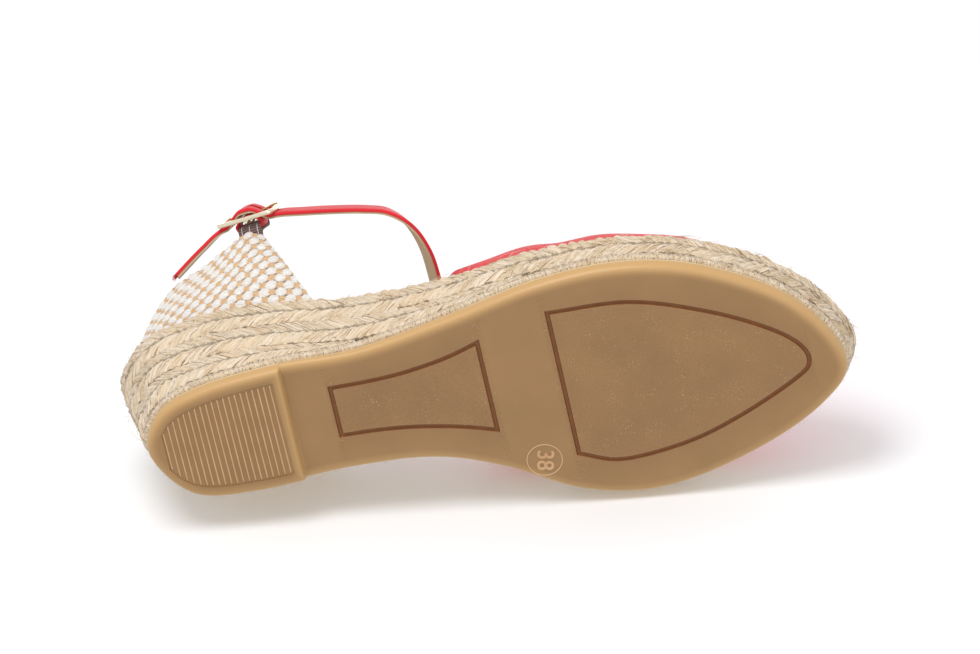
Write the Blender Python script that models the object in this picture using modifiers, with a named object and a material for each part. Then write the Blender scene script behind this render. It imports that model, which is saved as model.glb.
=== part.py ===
"""Closed-toe wedge sandal: gum rubber outsole, braided jute wedge, woven heel counter, buckled ankle strap.

Right shoe. The design frame has X towards the toe from the back of the outsole, Y towards the
inner side of the foot and Z up from the ground. Tables are in millimetres, everything built is in metres.
"""
import math

import bmesh
import bpy
import numpy as np
from mathutils import Matrix, Vector

MM = 0.001
GAP = 0.3                       # clearance between touching pieces

# --- driving dimensions, in millimetres -------------------------------------------------------
ORIGIN = (119.9, 3.75)          # middle of the sandal's footprint, in the design frame
RUBBER_TOP = 6.2
SHANK_RISE = 2.8                # how far the waist of the outsole stands off the ground
HEEL_BREAST = 52.0              # X of the step in front of the heel block
SHANK_END = 130.0               # X where the waist has come down to the ground again
CORD_RADIUS = 1.4
ROW_HEIGHT = 12.0               # one braided jute row
ROW_THICKNESS = 3.0
UPPER_INSET = ROW_THICKNESS + 0.5
FOOTBED_INSET = 8.5
FOOTBED_DEPTH = 6.0             # from the top of the jute wall down to the wedge core
FABRIC = 1.2
LINING = 0.7
STIFFENER = 0.8
STRAP_WIDTH = 10.0
SIDE_LEAN = math.radians(20.0)   # the strap's upper edge leans in towards the ankle
FRONT_LEAN = math.radians(24.0)
STATIONS = 40                   # rings of points along the shoe

# Outsole edge and jute wall's upper edge, seen from above: heel back, outer side, toe, inner side.
SOLE_EDGE = [
    (0, 0), (7, -15), (24, -22), (51, -25), (80, -25.5), (113, -32), (145, -39.5), (176, -41),
    (205, -33.5), (233, -15), (247, 11), (236, 27), (209, 41), (176, 49), (148, 44.5), (122, 30),
    (98, 21.5), (68, 20), (36, 22), (12, 18.5),
]
BED_EDGE = [
    (-10.5, 0), (-2.5, -18.5), (18, -27), (45, -30), (76, -29.5), (111, -33.5), (144, -41), (176, -42.5),
    (206, -35), (235, -16), (250, 11), (238, 28.5), (210, 42.5), (176, 50), (147, 45.5), (120, 32),
    (95, 26.5), (62, 28), (29, 28), (3, 21.5),
]
# Height of the jute wall's upper edge along X.
BED_HEIGHT = [(-12, 47), (20, 45), (45, 41.5), (67, 37.5), (109, 29.5), (150, 22), (180, 19.5), (215, 19), (252, 20)]

# Heel counter: X of a rib's foot on the wall, then the rim point above it. Mirrored to the inner side.
COUNTER_RIBS = [
    (67.5, 45.7, 31.2, 90.0), (61, 42.5, 31.5, 93.0), (54, 39.5, 31.5, 94.0), (45, 35.5, 30.6, 92.0),
    (35, 30, 28.8, 88.5), (25, 24.5, 26.3, 86.0), (14, 17.5, 22.8, 86.3), (4, 10, 18.5, 87.5),
    (-4, 4, 12, 88.6), (-9.2, 1.2, 5.5, 89.3), (-10.5, 0.5, 0, 89.5),
]
COUNTER_BULGE = 3.0
# Vamp: X of a rib's foot on the wall, then crown X, crown Y outer, crown Y inner, crown Z.
VAMP_RIBS = [
    (111, 111.5, -29.5, 26.5, 32.5), (120, 117.0, -30.6, 29.0, 40.0), (132, 127.0, -25.0, 26.0, 47.2),
    (146, 139.5, -14.0, 17.5, 53.2), (156, 147.5, 2.0, 2.0, 56.6), (172, 164, 3.0, 3.0, 55.5),
    (194, 187, 4.5, 4.5, 51.0), (216, 207, 6.5, 6.5, 46.5), (236, 224, 9.0, 9.0, 40.0),
    (250, 234, 10.5, 10.5, 36.0),
]
VAMP_BULGE = 1.1
VAMP_SQUARENESS = 0.82          # exponent of the superelliptic rib

# Middle line of the ankle strap from its inner end, round the front, to the buckle and the tail.
STRAP_FRONT = [
    (31.0, -31.2, 101.2), (41.1, -33.0, 100.3), (51.2, -34.8, 99.2), (61, -35.6, 95.6), (73, -36.4, 90.8),
    (84, -36.6, 86.4), (92, -35.4, 83.6), (98.6, -30.4, 81.0), (102.6, -22.0, 78.2), (104.0, -11.0, 76.0),
]
STRAP_TAIL = [(22.0, -27.4, 96.0), (11.5, -21.4, 90.4)]
BUCKLE_AT = Vector((41.1, -33.0, 100.3))
BUCKLE_LENGTH = 22.4
BUCKLE_HEIGHT = 15.6
BUCKLE_STOCK = 1.8
BUCKLE_DEPTH = 1.6
BUCKLE_PLANE = 2.3              # outwards from the strap's middle surface
BAR_RADIUS = 0.8
BAR_OUT = 1.35
HUMP_RISE = 4.6                 # the strap bulges out over the buckle's middle bar
HUMP_FOOT = 9.2
HUMP_CROWN = 1.2
OUTER_LAYER = (-0.05, 1.15)     # inner and outer face of the red strap, from its middle surface
INNER_LAYER = (-0.95, -0.35)
PRONG_HOLE = (-8.0, -0.6)
LOOP_WIDTH = 8.0
LOOP_THICKNESS = 1.0

# Recessed outlines moulded into the outsole's underside.
FOREPART_PANEL = [
    (147.5, -29.4), (177, -28), (203, -19), (223, -8), (233, 1), (235, 9), (229, 15), (208, 25.5),
    (187, 32.6), (163, 35), (147.5, 29.4),
]
WAIST_PANEL = [(67, -14), (94, -14.5), (123, -23), (123, 15), (94, 7), (67, 7)]
LINE_WIDTH = 1.2
LINE_DEPTH = 0.8
RIB_PITCH = 2.14
RIB_COUNT = 19
RIB_START = 9.0


# --- curves -----------------------------------------------------------------------------------
def spline(points, at, closed=False):
    """Catmull-Rom curve through the points, read at the given indices, whole numbers being the points."""
    p = np.array(points, float)
    at = np.asarray(at, float)
    if not closed:
        p = np.vstack([2 * p[0] - p[1], p, 2 * p[-1] - p[-2], 3 * p[-1] - 2 * p[-2]])
        at = np.clip(at, 0, len(points) - 1 - 1e-9) + 1
    i = np.floor(at).astype(int)
    t = (at - i)[:, None]
    n = len(p)
    a, b, c, d = p[(i - 1) % n], p[i % n], p[(i + 1) % n], p[(i + 2) % n]
    return 0.5 * (2 * b + (c - a) * t + (2 * a - 5 * b + 4 * c - d) * t ** 2 + (3 * b - a - 3 * c + d) * t ** 3)


def bed_height(x):
    """Height of the jute wall's upper edge at X."""
    knots = spline(BED_HEIGHT, np.linspace(0, len(BED_HEIGHT) - 1, 200))
    return np.interp(x, knots[:, 0], knots[:, 1])


def wall(at, height, inset):
    """Points on the wedge's flared wall: height(x) is given or a number, inset is measured inwards."""
    at = np.asarray(at, float)

    def ring(u, part):
        sole, bed = spline(SOLE_EDGE, u, True), spline(BED_EDGE, u, True)
        return sole + (bed - sole) * part[:, None]

    part = np.full(len(at), 0.5)
    for _ in range(3):
        p = ring(at, part)
        z = height(p[:, 0]) if callable(height) else np.full(len(at), float(height))
        part = np.clip((z - RUBBER_TOP) / (bed_height(p[:, 0]) - RUBBER_TOP), 0, 1)
    along = ring(at + 0.02, part) - ring(at - 0.02, part)
    out = np.stack([along[:, 1], -along[:, 0]], 1) / np.linalg.norm(along, axis=1)[:, None]
    p = p - out * inset
    if callable(height):
        z = height(p[:, 0])
    return np.column_stack([p, z])


def side_index(x, inner):
    """Index along BED_EDGE of the point at X on the outer or the inner side."""
    u = np.linspace(0, 10, 400)
    u = 20 - u if inner else u
    edge = spline(BED_EDGE, u, True)[:, 0]
    edge[0], edge[-1] = min(edge), max(edge)
    return np.interp(x, np.maximum.accumulate(edge), u)


def round_stations(x_end=None):
    """Indices round the whole wall, or round the heel from the inner to the outer side as far as X.

    They're close together at heel and toe, and opposite stations share their X.
    """
    x = -10.5 + 260.5 * (1 - np.cos(np.linspace(0, math.pi, STATIONS + 1))) / 2
    outer = side_index(x, False)
    inner = side_index(x, True)
    outer[0], outer[-1] = 0, 10
    if x_end is None:
        return np.concatenate([outer, inner[-2:0:-1]])
    count = int(np.sum(x <= x_end))
    return np.concatenate([inner[count - 1:0:-1] - 20, outer[:count]])


# --- mesh helpers -----------------------------------------------------------------------------
def new_mesh(name, bm):
    """Mesh from a bmesh, faces pointing out."""
    bmesh.ops.recalc_face_normals(bm, faces=bm.faces)
    mesh = bpy.data.meshes.new(name)
    bm.to_mesh(mesh)
    bm.free()
    return mesh


def loft(name, sections, closed):
    """Solid through a row of equal polygons, joined end to end when closed, capped otherwise."""
    bm = bmesh.new()
    rows = [[bm.verts.new(Vector(p) * MM) for p in section] for section in sections]
    pairs = list(zip(rows, rows[1:])) + ([(rows[-1], rows[0])] if closed else [])
    for a, b in pairs:
        for i in range(len(a)):
            j = (i + 1) % len(a)
            bm.faces.new((a[i], a[j], b[j], b[i]))
    if not closed:
        bm.faces.new(rows[0])
        bm.faces.new(rows[-1])
    return new_mesh(name, bm)


def stack(name, rings):
    """Solid through rings that follow round_stations, closed below and above by cross strips."""
    bm = bmesh.new()
    rows = [[bm.verts.new(Vector(p) * MM) for p in ring] for ring in rings]
    n = len(rows[0])
    for a, b in zip(rows, rows[1:]):
        for i in range(n):
            j = (i + 1) % n
            bm.faces.new((a[i], a[j], b[j], b[i]))
    for row in (rows[0], rows[-1]):
        bm.faces.new((row[0], row[1], row[-1]))
        for i in range(1, n // 2 - 1):
            bm.faces.new((row[i], row[i + 1], row[n - i - 1], row[n - i]))
        bm.faces.new((row[n // 2 - 1], row[n // 2], row[n // 2 + 1]))
    return new_mesh(name, bm)


def sheet(name, grid, inset, pinch=False):
    """Open surface through a grid of points with its faces outwards, moved inwards along its normals."""
    bm = bmesh.new()
    rows = [[bm.verts.new(Vector(p) * MM) for p in row] for row in grid]
    for a, b in zip(rows, rows[1:]):
        for i in range(len(a) - 1):
            bm.faces.new((a[i], a[i + 1], b[i + 1], b[i]))
    if pinch:
        bmesh.ops.remove_doubles(bm, verts=bm.verts, dist=0.01 * MM)
    bmesh.ops.recalc_face_normals(bm, faces=bm.faces)
    middle = sum((v.co for v in bm.verts), Vector()) / len(bm.verts)
    if sum(f.normal.dot(f.calc_center_median() - middle) * f.calc_area() for f in bm.faces) < 0:
        bmesh.ops.reverse_faces(bm, faces=bm.faces)
    bm.normal_update()
    moves = [(v, v.normal * inset * MM) for v in bm.verts]
    for v, move in moves:
        v.co -= move
    mesh = bpy.data.meshes.new(name)
    bm.to_mesh(mesh)
    bm.free()
    return mesh


def paint(name, colour, roughness, metallic=0.0):
    """Plain Principled material."""
    mat = bpy.data.materials.get(name) or bpy.data.materials.new(name)
    mat.use_nodes = True
    shader = mat.node_tree.nodes["Principled BSDF"]
    shader.inputs["Base Color"].default_value = (*colour, 1)
    shader.inputs["Roughness"].default_value = roughness
    shader.inputs["Metallic"].default_value = metallic
    return mat


def place(mesh, material, frame, parts, smooth=True):
    """Object in the sandal's frame, with its material."""
    ob = bpy.data.objects.new(mesh.name, mesh)
    parts.objects.link(ob)
    ob.parent = frame
    mesh.materials.append(material)
    if smooth:
        mesh.shade_smooth()
        mesh.set_sharp_from_angle(angle=math.radians(35))
    return ob


def solidify(ob, thickness):
    """Give an open surface its thickness, inwards."""
    mod = ob.modifiers.new("Thickness", "SOLIDIFY")
    mod.thickness = thickness * MM
    mod.offset = -1
    mod.use_even_offset = True


def cut(ob, cutter_mesh, frame, cutters, operation="DIFFERENCE"):
    """Boolean with a helper object that isn't a part."""
    helper = bpy.data.objects.new(cutter_mesh.name, cutter_mesh)
    cutters.objects.link(helper)
    helper.parent = frame
    helper.hide_render = True
    helper.display_type = "WIRE"
    mod = ob.modifiers.new(cutter_mesh.name, "BOOLEAN")
    mod.operation = operation
    mod.object = helper


# --- sole -------------------------------------------------------------------------------------
def ground(x):
    """Height of the outsole's underside: the heel block and forepart stand on the ground."""
    slope = SHANK_RISE * (SHANK_END - x) / (SHANK_END - HEEL_BREAST)
    return np.where((x > HEEL_BREAST) & (x < SHANK_END), slope, 0.0)


def outsole_mesh(stations):
    """Rubber slab with a rounded lower edge."""
    rings = [(0.0, 2.4), (0.35, 1.2), (1.2, 0.35), (2.4, 0.0), (RUBBER_TOP, 0.5)]
    return stack("rubber_outsole", [wall(stations, z, inset) for z, inset in rings])


def waist_cutter():
    """Wedge that lifts the waist off the ground in front of the heel breast."""
    profile = [(HEEL_BREAST, -2), (HEEL_BREAST, SHANK_RISE), (SHANK_END, 0), (SHANK_END, -2)]
    sections = [[(x, y, z) for x, z in profile] for y in (-60, 60)]
    return loft("waist_cutter", sections, False)


def line_cutter(name, outline, segments):
    """Square groove that follows a closed outline on the underside."""
    u = np.linspace(0, len(outline), segments, endpoint=False)
    p = spline(outline, u, True)
    along = spline(outline, u + 0.02, True) - spline(outline, u - 0.02, True)
    out = np.stack([along[:, 1], -along[:, 0]], 1) / np.linalg.norm(along, axis=1)[:, None]
    sections = []
    for q, n in zip(p, out):
        a, b = q - n * LINE_WIDTH / 2, q + n * LINE_WIDTH / 2
        top = float(ground(q[0])) + LINE_DEPTH
        sections.append([(*a, -1), (*b, -1), (*b, top), (*a, top)])
    return loft(name, sections, True)


def rib_cutter():
    """Row of narrow grooves across the heel block, 4.5 mm inside its edge."""
    bm = bmesh.new()
    groove = RIB_PITCH * 0.55
    for k in range(RIB_COUNT):
        x = RIB_START + k * RIB_PITCH
        u = np.linspace(0, 4, 100)
        outer = spline(SOLE_EDGE, u, True)
        inner = spline(SOLE_EDGE, 20 - u, True)
        low = np.interp(x, outer[:, 0], outer[:, 1]) + 7.0
        high = np.interp(x, inner[:, 0], inner[:, 1]) - 7.0
        size = Matrix.Diagonal((groove, high - low, 2 * LINE_DEPTH, 1))
        at = Matrix.Translation((x, (low + high) / 2, 0))
        bmesh.ops.create_cube(bm, size=1, matrix=Matrix.Scale(MM, 4) @ at @ size)
    return new_mesh("rib_cutter", bm)


def cord_object(stations, material, frame, parts):
    """Twisted jute welt cord that lies on the rubber all the way round."""
    curve = bpy.data.curves.new("jute_welt_cord", "CURVE")
    curve.dimensions = "3D"
    curve.bevel_depth = CORD_RADIUS * MM
    curve.bevel_resolution = 1
    line = curve.splines.new("POLY")
    ring = wall(stations, RUBBER_TOP + GAP + CORD_RADIUS, CORD_RADIUS + 0.2)
    line.points.add(len(ring) - 1)
    for point, p in zip(line.points, ring):
        point.co = (*(p * MM), 1)
    line.use_cyclic_u = True
    curve.materials.append(material)
    ob = bpy.data.objects.new("jute_welt_cord", curve)
    parts.objects.link(ob)
    ob.parent = frame


def row_mesh(name, stations, top, bottom, closed):
    """One braided row: a band on the wall between two heights, bulging slightly at its middle."""
    def middle(x):
        return (top(x) + bottom(x)) / 2

    rings = [
        wall(stations, bottom, 0.3), wall(stations, middle, -0.5), wall(stations, top, 0.3),
        wall(stations, top, ROW_THICKNESS), wall(stations, bottom, ROW_THICKNESS),
    ]
    return loft(name, np.stack(rings, 1), closed)


CORD_TOP = RUBBER_TOP + GAP + 2 * CORD_RADIUS + GAP


def row_limits(index):
    """Upper and lower height of a jute row; rows run parallel to the wall's upper edge."""
    def top(x):
        return np.maximum(bed_height(x) - index * (ROW_HEIGHT + GAP), CORD_TOP + 1.0)

    def bottom(x):
        return np.maximum(bed_height(x) - index * (ROW_HEIGHT + GAP) - ROW_HEIGHT, CORD_TOP)
    return top, bottom


def make_sole(frame, parts, cutters):
    """Outsole, welt cord, jute rows, wedge core and the layers of the footbed."""
    gum = paint("gum_rubber", (0.42, 0.23, 0.11), 0.45)
    jute = paint("jute_braid", (0.78, 0.66, 0.50), 0.95)
    core = paint("wedge_foam", (0.35, 0.25, 0.17), 0.9)
    board = paint("insole_board", (0.55, 0.42, 0.28), 0.8)
    foam = paint("footbed_foam", (0.85, 0.82, 0.75), 0.9)
    sock = paint("sock_leather", (0.72, 0.56, 0.40), 0.6)
    stations = round_stations()

    outsole = place(outsole_mesh(stations), gum, frame, parts)
    cut(outsole, waist_cutter(), frame, cutters)
    cut(outsole, line_cutter("forepart_line_cutter", FOREPART_PANEL, 44), frame, cutters)
    cut(outsole, line_cutter("waist_line_cutter", WAIST_PANEL, 30), frame, cutters)
    cut(outsole, rib_cutter(), frame, cutters)

    cord_object(stations, jute, frame, parts)
    place(row_mesh("jute_row_top", stations, *row_limits(0), True), jute, frame, parts)
    place(row_mesh("jute_row_middle", round_stations(138), *row_limits(1), False), jute, frame, parts)
    place(row_mesh("jute_row_bottom", round_stations(71), *row_limits(2), False), jute, frame, parts)

    def under(depth):
        return lambda x: bed_height(x) - depth

    def level(part):
        return lambda x: RUBBER_TOP + GAP + (bed_height(x) - FOOTBED_DEPTH - RUBBER_TOP - GAP) * part

    core_rings = [wall(stations, level(part), UPPER_INSET) for part in (0, 0.33, 0.67, 1)]
    place(stack("wedge_core", core_rings), core, frame, parts)
    layers = [("insole_board", board, 5.7, 4.4), ("insole_foam", foam, 4.1, 1.6), ("sock_lining", sock, 1.3, 0.4)]
    for name, material, low, high in layers:
        rings = [wall(stations, under(low), FOOTBED_INSET), wall(stations, under(high), FOOTBED_INSET)]
        place(stack(name, rings), material, frame, parts)


# --- uppers -----------------------------------------------------------------------------------
def counter_grid(columns, rows, top=1.0):
    """Heel counter's outer surface, outer side to inner side, from the wall up to the rim."""
    count = len(COUNTER_RIBS) - 1
    ribs = spline(COUNTER_RIBS, np.linspace(0, count, columns))
    foot_height = lambda x: bed_height(x) - FOOTBED_DEPTH + GAP
    sides = []
    for inner in (False, True):
        u = side_index(ribs[:, 0], inner)
        u[-1] = 20 if inner else 0
        foot = wall(u, foot_height, UPPER_INSET)
        outwards = foot - wall(u, foot_height, UPPER_INSET + 1)
        rim = ribs[:, 1:4] * (1, 1 if inner else -1, 1)
        swell = COUNTER_BULGE * (0.35 + 0.65 * np.linspace(0, 1, columns) ** 1.5)
        side = []
        for v in np.linspace(0, top, rows):
            lift = 4 * v * (1 - v) * swell
            side.append(foot + (rim - foot) * v + outwards * lift[:, None])
        sides.append(np.stack(side))
    return np.concatenate([sides[0], sides[1][:, -2::-1]], 1)


def vamp_grid(columns, rows):
    """Vamp's outer surface: ribs from the wall to the topline and, ahead of it, to the crown line."""
    ribs = spline(VAMP_RIBS, np.linspace(0, len(VAMP_RIBS) - 1, columns))
    foot_height = lambda x: bed_height(x) - FOOTBED_DEPTH + GAP
    sides = []
    for inner in (False, True):
        u = side_index(ribs[:, 0], inner)
        u[-1] = 10
        foot = wall(u, foot_height, UPPER_INSET)
        outwards = foot - wall(u, foot_height, UPPER_INSET + 1)
        crown = ribs[:, (1, 3 if inner else 2, 4)]
        swell = VAMP_BULGE * np.clip((crown[:, 2] - foot[:, 2] - 9) / 16, -0.3, 1)[:, None]
        side = []
        for angle in np.linspace(0, math.pi / 2, rows):
            across = 1 - max(math.cos(angle), 0) ** VAMP_SQUARENESS
            up = math.sin(angle) ** VAMP_SQUARENESS
            p = foot + (crown - foot) * (across, across, up)
            side.append(p + outwards * swell * math.sin(math.pi * up))
        sides.append(np.stack(side))
    return np.concatenate([sides[0], sides[1][:, -2::-1]], 1)


def make_uppers(frame, parts):
    """Woven counter with stiffener and lining, red vamp with lining."""
    weave = paint("woven_jute_cotton", (0.88, 0.80, 0.70), 0.9)
    red = paint("red_canvas", (0.80, 0.02, 0.03), 0.7)
    beige = paint("beige_lining", (0.66, 0.50, 0.36), 0.75)
    felt = paint("stiffener_felt", (0.75, 0.72, 0.66), 0.9)
    layers = [
        ("heel_counter", counter_grid(15, 7), weave, 0, FABRIC, False),
        ("counter_stiffener", counter_grid(15, 6, 0.62), felt, FABRIC + GAP, STIFFENER, False),
        ("counter_lining", counter_grid(15, 7), beige, FABRIC + 2 * GAP + STIFFENER, LINING, False),
        ("vamp", vamp_grid(17, 9), red, 0, FABRIC, True),
        ("vamp_lining", vamp_grid(17, 9), beige, FABRIC + 2 * GAP, LINING, True),
    ]
    for name, grid, material, inset, thickness, pinch in layers:
        solidify(place(sheet(name, grid, inset, pinch), material, frame, parts), thickness)


def make_topline_elastic(frame, parts):
    """Elastic webbing sewn between fabric and lining behind each ear, a little proud of the rim."""
    webbing = paint("ribbed_elastic", (0.22, 0.15, 0.13), 0.85)
    grid = counter_grid(21, 25, 1.03)
    for name, columns in (("topline_elastic_outer", slice(5, 12)), ("topline_elastic_inner", slice(29, 36))):
        band = grid[20:, columns]
        mesh = sheet(name, band, FABRIC + GAP)
        solidify(place(mesh, webbing, frame, parts), STIFFENER)


# --- ankle strap ------------------------------------------------------------------------------
def strap_route():
    """Strap's middle line from the inner end round the front to the tail, with its local axes."""
    outer = STRAP_FRONT[::-1] + STRAP_TAIL
    inner = [(x, -y, z) for x, y, z in STRAP_FRONT]
    points = inner + outer
    u = np.linspace(0, len(points) - 1, 900)
    p = spline(points, u)
    steps = np.linalg.norm(np.diff(p, axis=0), axis=1)
    return p, np.concatenate([[0], np.cumsum(steps)])


class Strap:
    """The strap's middle surface: s runs from the buckle's middle bar, negative towards the front."""

    def __init__(self):
        self.points, self.length = strap_route()
        gaps = np.linalg.norm(self.points - np.array(BUCKLE_AT), axis=1)
        self.zero = self.length[int(np.argmin(gaps))]
        self.start = -self.zero
        self.end = self.length[-1] - self.zero

    def axes(self, s):
        """Point, direction along the strap, direction up its width and outward normal at s."""
        def at(q):
            return Vector([float(np.interp(q + self.zero, self.length, self.points[:, i])) for i in range(3)])

        along = (at(s + 1.5) - at(s - 1.5)).normalized()
        inwards = Vector((along.y, -along.x, 0)).normalized()
        lean = SIDE_LEAN + (FRONT_LEAN - SIDE_LEAN) * along.y ** 2
        up = Vector((0, 0, 1)) * math.cos(lean) + inwards * math.sin(lean)
        up = (up - along * up.dot(along)).normalized()
        return at(s), along, up, up.cross(along)

    def point(self, s, n, w):
        """Point n out from the middle surface and w up from the middle line."""
        p, _, up, out = self.axes(s)
        return p + out * n + up * w


def hump(s):
    """How far the strap stands out where it crosses the buckle's middle bar."""
    t = min(max((HUMP_FOOT - abs(s)) / (HUMP_FOOT - HUMP_CROWN), 0), 1)
    return HUMP_RISE * t * t * (3 - 2 * t)


def strap_positions(strap):
    """Where the strap is sectioned: finely at the buckle, coarsely elsewhere."""
    coarse = np.linspace(strap.start, -HUMP_FOOT - 2, 70)
    fine = np.linspace(-HUMP_FOOT, HUMP_FOOT, 21)
    tail = np.linspace(HUMP_FOOT + 2, strap.end, 12)
    return np.concatenate([coarse, fine, tail])


def layer_mesh(name, strap, positions, layer, width):
    """One layer of the strap between its two faces."""
    sections = []
    for s in positions:
        low, high = layer[0] + hump(s), layer[1] + hump(s)
        half = width / 2
        corners = ((low, -half), (high, -half), (high, 0), (high, half), (low, half), (low, 0))
        sections.append([strap.point(s, n, w) for n, w in corners])
    return loft(name, sections, False)


def band_mesh(name, axes, route, thickness, half_width, along_s, closed=False):
    """Flat band bent along a route in a plane of the buckle's frame."""
    origin, along, up, out = axes
    p = np.array(route, float)
    before, after = np.roll(p, 1, 0), np.roll(p, -1, 0)
    if not closed:
        before[0], after[-1] = p[0], p[-1]
    step = after - before
    normal = np.stack([-step[:, 1], step[:, 0]], 1) / np.linalg.norm(step, axis=1)[:, None]
    sections = []
    for q, n in zip(p, normal):
        section = []
        for side, cross in ((-1, -1), (1, -1), (1, 1), (-1, 1)):
            a, b = q + n * side * thickness / 2
            if along_s:
                section.append(origin + along * a + out * b + up * cross * half_width)
            else:
                section.append(origin + up * a + out * b + along * cross * half_width)
        sections.append(section)
    return loft(name, sections, closed)


def local_matrix(axes):
    """Matrix from buckle coordinates (along, up, out) in metres to the sandal's frame."""
    origin, along, up, out = axes
    turn = Matrix((along, up, out)).transposed().to_4x4()
    return Matrix.Translation(origin * MM) @ turn


def slot_cutter(name, axes, low, high, width):
    """Box through the strap at the buckle for the prong."""
    bm = bmesh.new()
    size = Matrix.Diagonal((high - low, width, 14, 1))
    at = Matrix.Translation(((high + low) / 2, 0, 3))
    bmesh.ops.create_cube(bm, size=1, matrix=local_matrix(axes) @ Matrix.Scale(MM, 4) @ at @ size)
    return new_mesh(name, bm)


def rounded_rectangle(half_length, half_height, radius, steps):
    """Points of a rectangle with round corners, counter-clockwise."""
    points = []
    for k, (sx, sy) in enumerate(((1, 1), (-1, 1), (-1, -1), (1, -1))):
        for i in range(steps + 1):
            a = math.pi / 2 * (k + i / steps)
            points.append((sx * (half_length - radius) + radius * math.cos(a),
                           sy * (half_height - radius) + radius * math.sin(a)))
    return points


def buckle_frame_mesh(axes):
    """Rectangular buckle frame of flat stock."""
    origin, along, up, out = axes
    half = BUCKLE_STOCK / 2
    middle = rounded_rectangle(BUCKLE_LENGTH / 2 - half, BUCKLE_HEIGHT / 2 - half, 1.4, 3)
    sections = []
    for i, (a, b) in enumerate(middle):
        q, r = Vector(middle[i - 1]), Vector(middle[(i + 1) % len(middle)])
        side = (r - q).normalized()
        side = Vector((side.y, -side.x))
        section = []
        for x, z in ((-half, -1), (half, -1), (half, 1), (-half, 1)):
            height = BUCKLE_PLANE + z * BUCKLE_DEPTH / 2
            section.append(origin + along * (a + side.x * x) + up * (b + side.y * x) + out * height)
        sections.append(section)
    return loft("buckle_frame", sections, True)


def bar_mesh(axes):
    """Middle bar that the tab and the prong hang on."""
    bm = bmesh.new()
    length = BUCKLE_HEIGHT - BUCKLE_STOCK
    lie = Matrix.Translation((0, 0, BAR_OUT * MM)) @ Matrix.Rotation(math.pi / 2, 4, "X")
    bmesh.ops.create_cone(
        bm, cap_ends=True, segments=16, radius1=BAR_RADIUS * MM, radius2=BAR_RADIUS * MM,
        depth=length * MM, matrix=local_matrix(axes) @ lie,
    )
    return new_mesh("buckle_bar", bm)


def prong_mesh(axes):
    """Flat prong: an eye round the middle bar and a finger that rests on the front bar."""
    finger_end = -(BUCKLE_LENGTH / 2 + 0.4)
    rest = BUCKLE_PLANE + BUCKLE_DEPTH / 2 + GAP + 0.4
    eye = []
    for angle in np.linspace(math.radians(-215), math.radians(95), 13):
        eye.append((1.45 * math.cos(angle), BAR_OUT + 1.45 * math.sin(angle)))
    route = eye + [(-2.2, BAR_OUT + 1.62), (-6.2, rest - 0.75), (-9.4, rest - 0.1), (finger_end, rest)]
    return band_mesh("buckle_prong", axes, route, 0.7, 0.7, True)


def tab_mesh(axes):
    """Short red keeper that ties the middle bar to the elastic loop."""
    half = [(-1.7, 2.35), (-4.6, 0.1), (-4.6, -1.5), (-3.9, -2.3)]
    route = [(0, 2.8)] + half + [(0, -2.3)] + [(-a, b) for a, b in half[::-1]]
    return band_mesh("buckle_tab", axes, route, 0.7, 4.0, True, True)


def loop_mesh(name, axes, outer_leg, inner_leg, foot):
    """Elastic webbing that rises from the ear, folds over the strap and comes down again."""
    top = STRAP_WIDTH / 2 + 0.9
    middle, radius = (outer_leg + inner_leg) / 2, (outer_leg - inner_leg) / 2
    arch = [(top + radius * math.sin(a), middle - radius * math.cos(a)) for a in np.linspace(0, math.pi, 7)]
    route = [(-5.0, inner_leg - 0.8), (-4.2, inner_leg)] + arch + foot
    return band_mesh(name, axes, route, LOOP_THICKNESS, LOOP_WIDTH / 2, False)


def mirrored(axes):
    """The same axes on the inner side of the shoe."""
    origin, along, up, out = (Vector((v.x, -v.y, v.z)) for v in axes)
    return origin, along, up, out


def make_strap(frame, parts, cutters):
    """Strap layers, elastic loops, buckle tab, buckle frame and prong."""
    red = paint("red_canvas", (0.80, 0.02, 0.03), 0.7)
    beige = paint("beige_lining", (0.66, 0.50, 0.36), 0.75)
    webbing = paint("ribbed_elastic", (0.22, 0.15, 0.13), 0.85)
    gold = paint("pale_gold_metal", (0.90, 0.86, 0.72), 0.25, 1.0)
    strap = Strap()
    axes = strap.axes(0)
    positions = strap_positions(strap)

    for name, layer, material, width in (
        ("ankle_strap", OUTER_LAYER, red, STRAP_WIDTH),
        ("ankle_strap_lining", INNER_LAYER, beige, STRAP_WIDTH - 0.6),
    ):
        ob = place(layer_mesh(name, strap, positions, layer, width), material, frame, parts)
        cut(ob, slot_cutter(name + "_hole_cutter", axes, *PRONG_HOLE, 2.2), frame, cutters)

    tab = place(tab_mesh(axes), red, frame, parts)
    cut(tab, slot_cutter("tab_slot_cutter", axes, -5.6, 2.2, 2.4), frame, cutters)
    under_tab = loop_mesh("elastic_loop_outer", axes, -1.15, -3.45, [(-4.3, -1.15), (-5.0, -1.6)])
    round_strap = loop_mesh("elastic_loop_inner", mirrored(axes), 2.05, -1.85, [(-4.8, 2.05), (-5.7, 1.6)])
    for mesh in (under_tab, round_strap):
        place(mesh, webbing, frame, parts)

    buckle = place(buckle_frame_mesh(axes), gold, frame, parts)
    cut(buckle, bar_mesh(axes), frame, cutters, "UNION")
    place(prong_mesh(axes), gold, frame, parts)


def main():
    for ob in list(bpy.data.objects):
        bpy.data.objects.remove(ob, do_unlink=True)
    parts = bpy.data.collections.new("wedge_sandal")
    cutters = bpy.data.collections.new("cutters")
    bpy.context.scene.collection.children.link(parts)
    bpy.context.scene.collection.children.link(cutters)
    frame = bpy.data.objects.new("sandal_frame", None)
    frame.location = (-ORIGIN[0] * MM, -ORIGIN[1] * MM, 0)
    parts.objects.link(frame)
    make_sole(frame, parts, cutters)
    make_uppers(frame, parts)
    make_topline_elastic(frame, parts)
    make_strap(frame, parts, cutters)


main()
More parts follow.
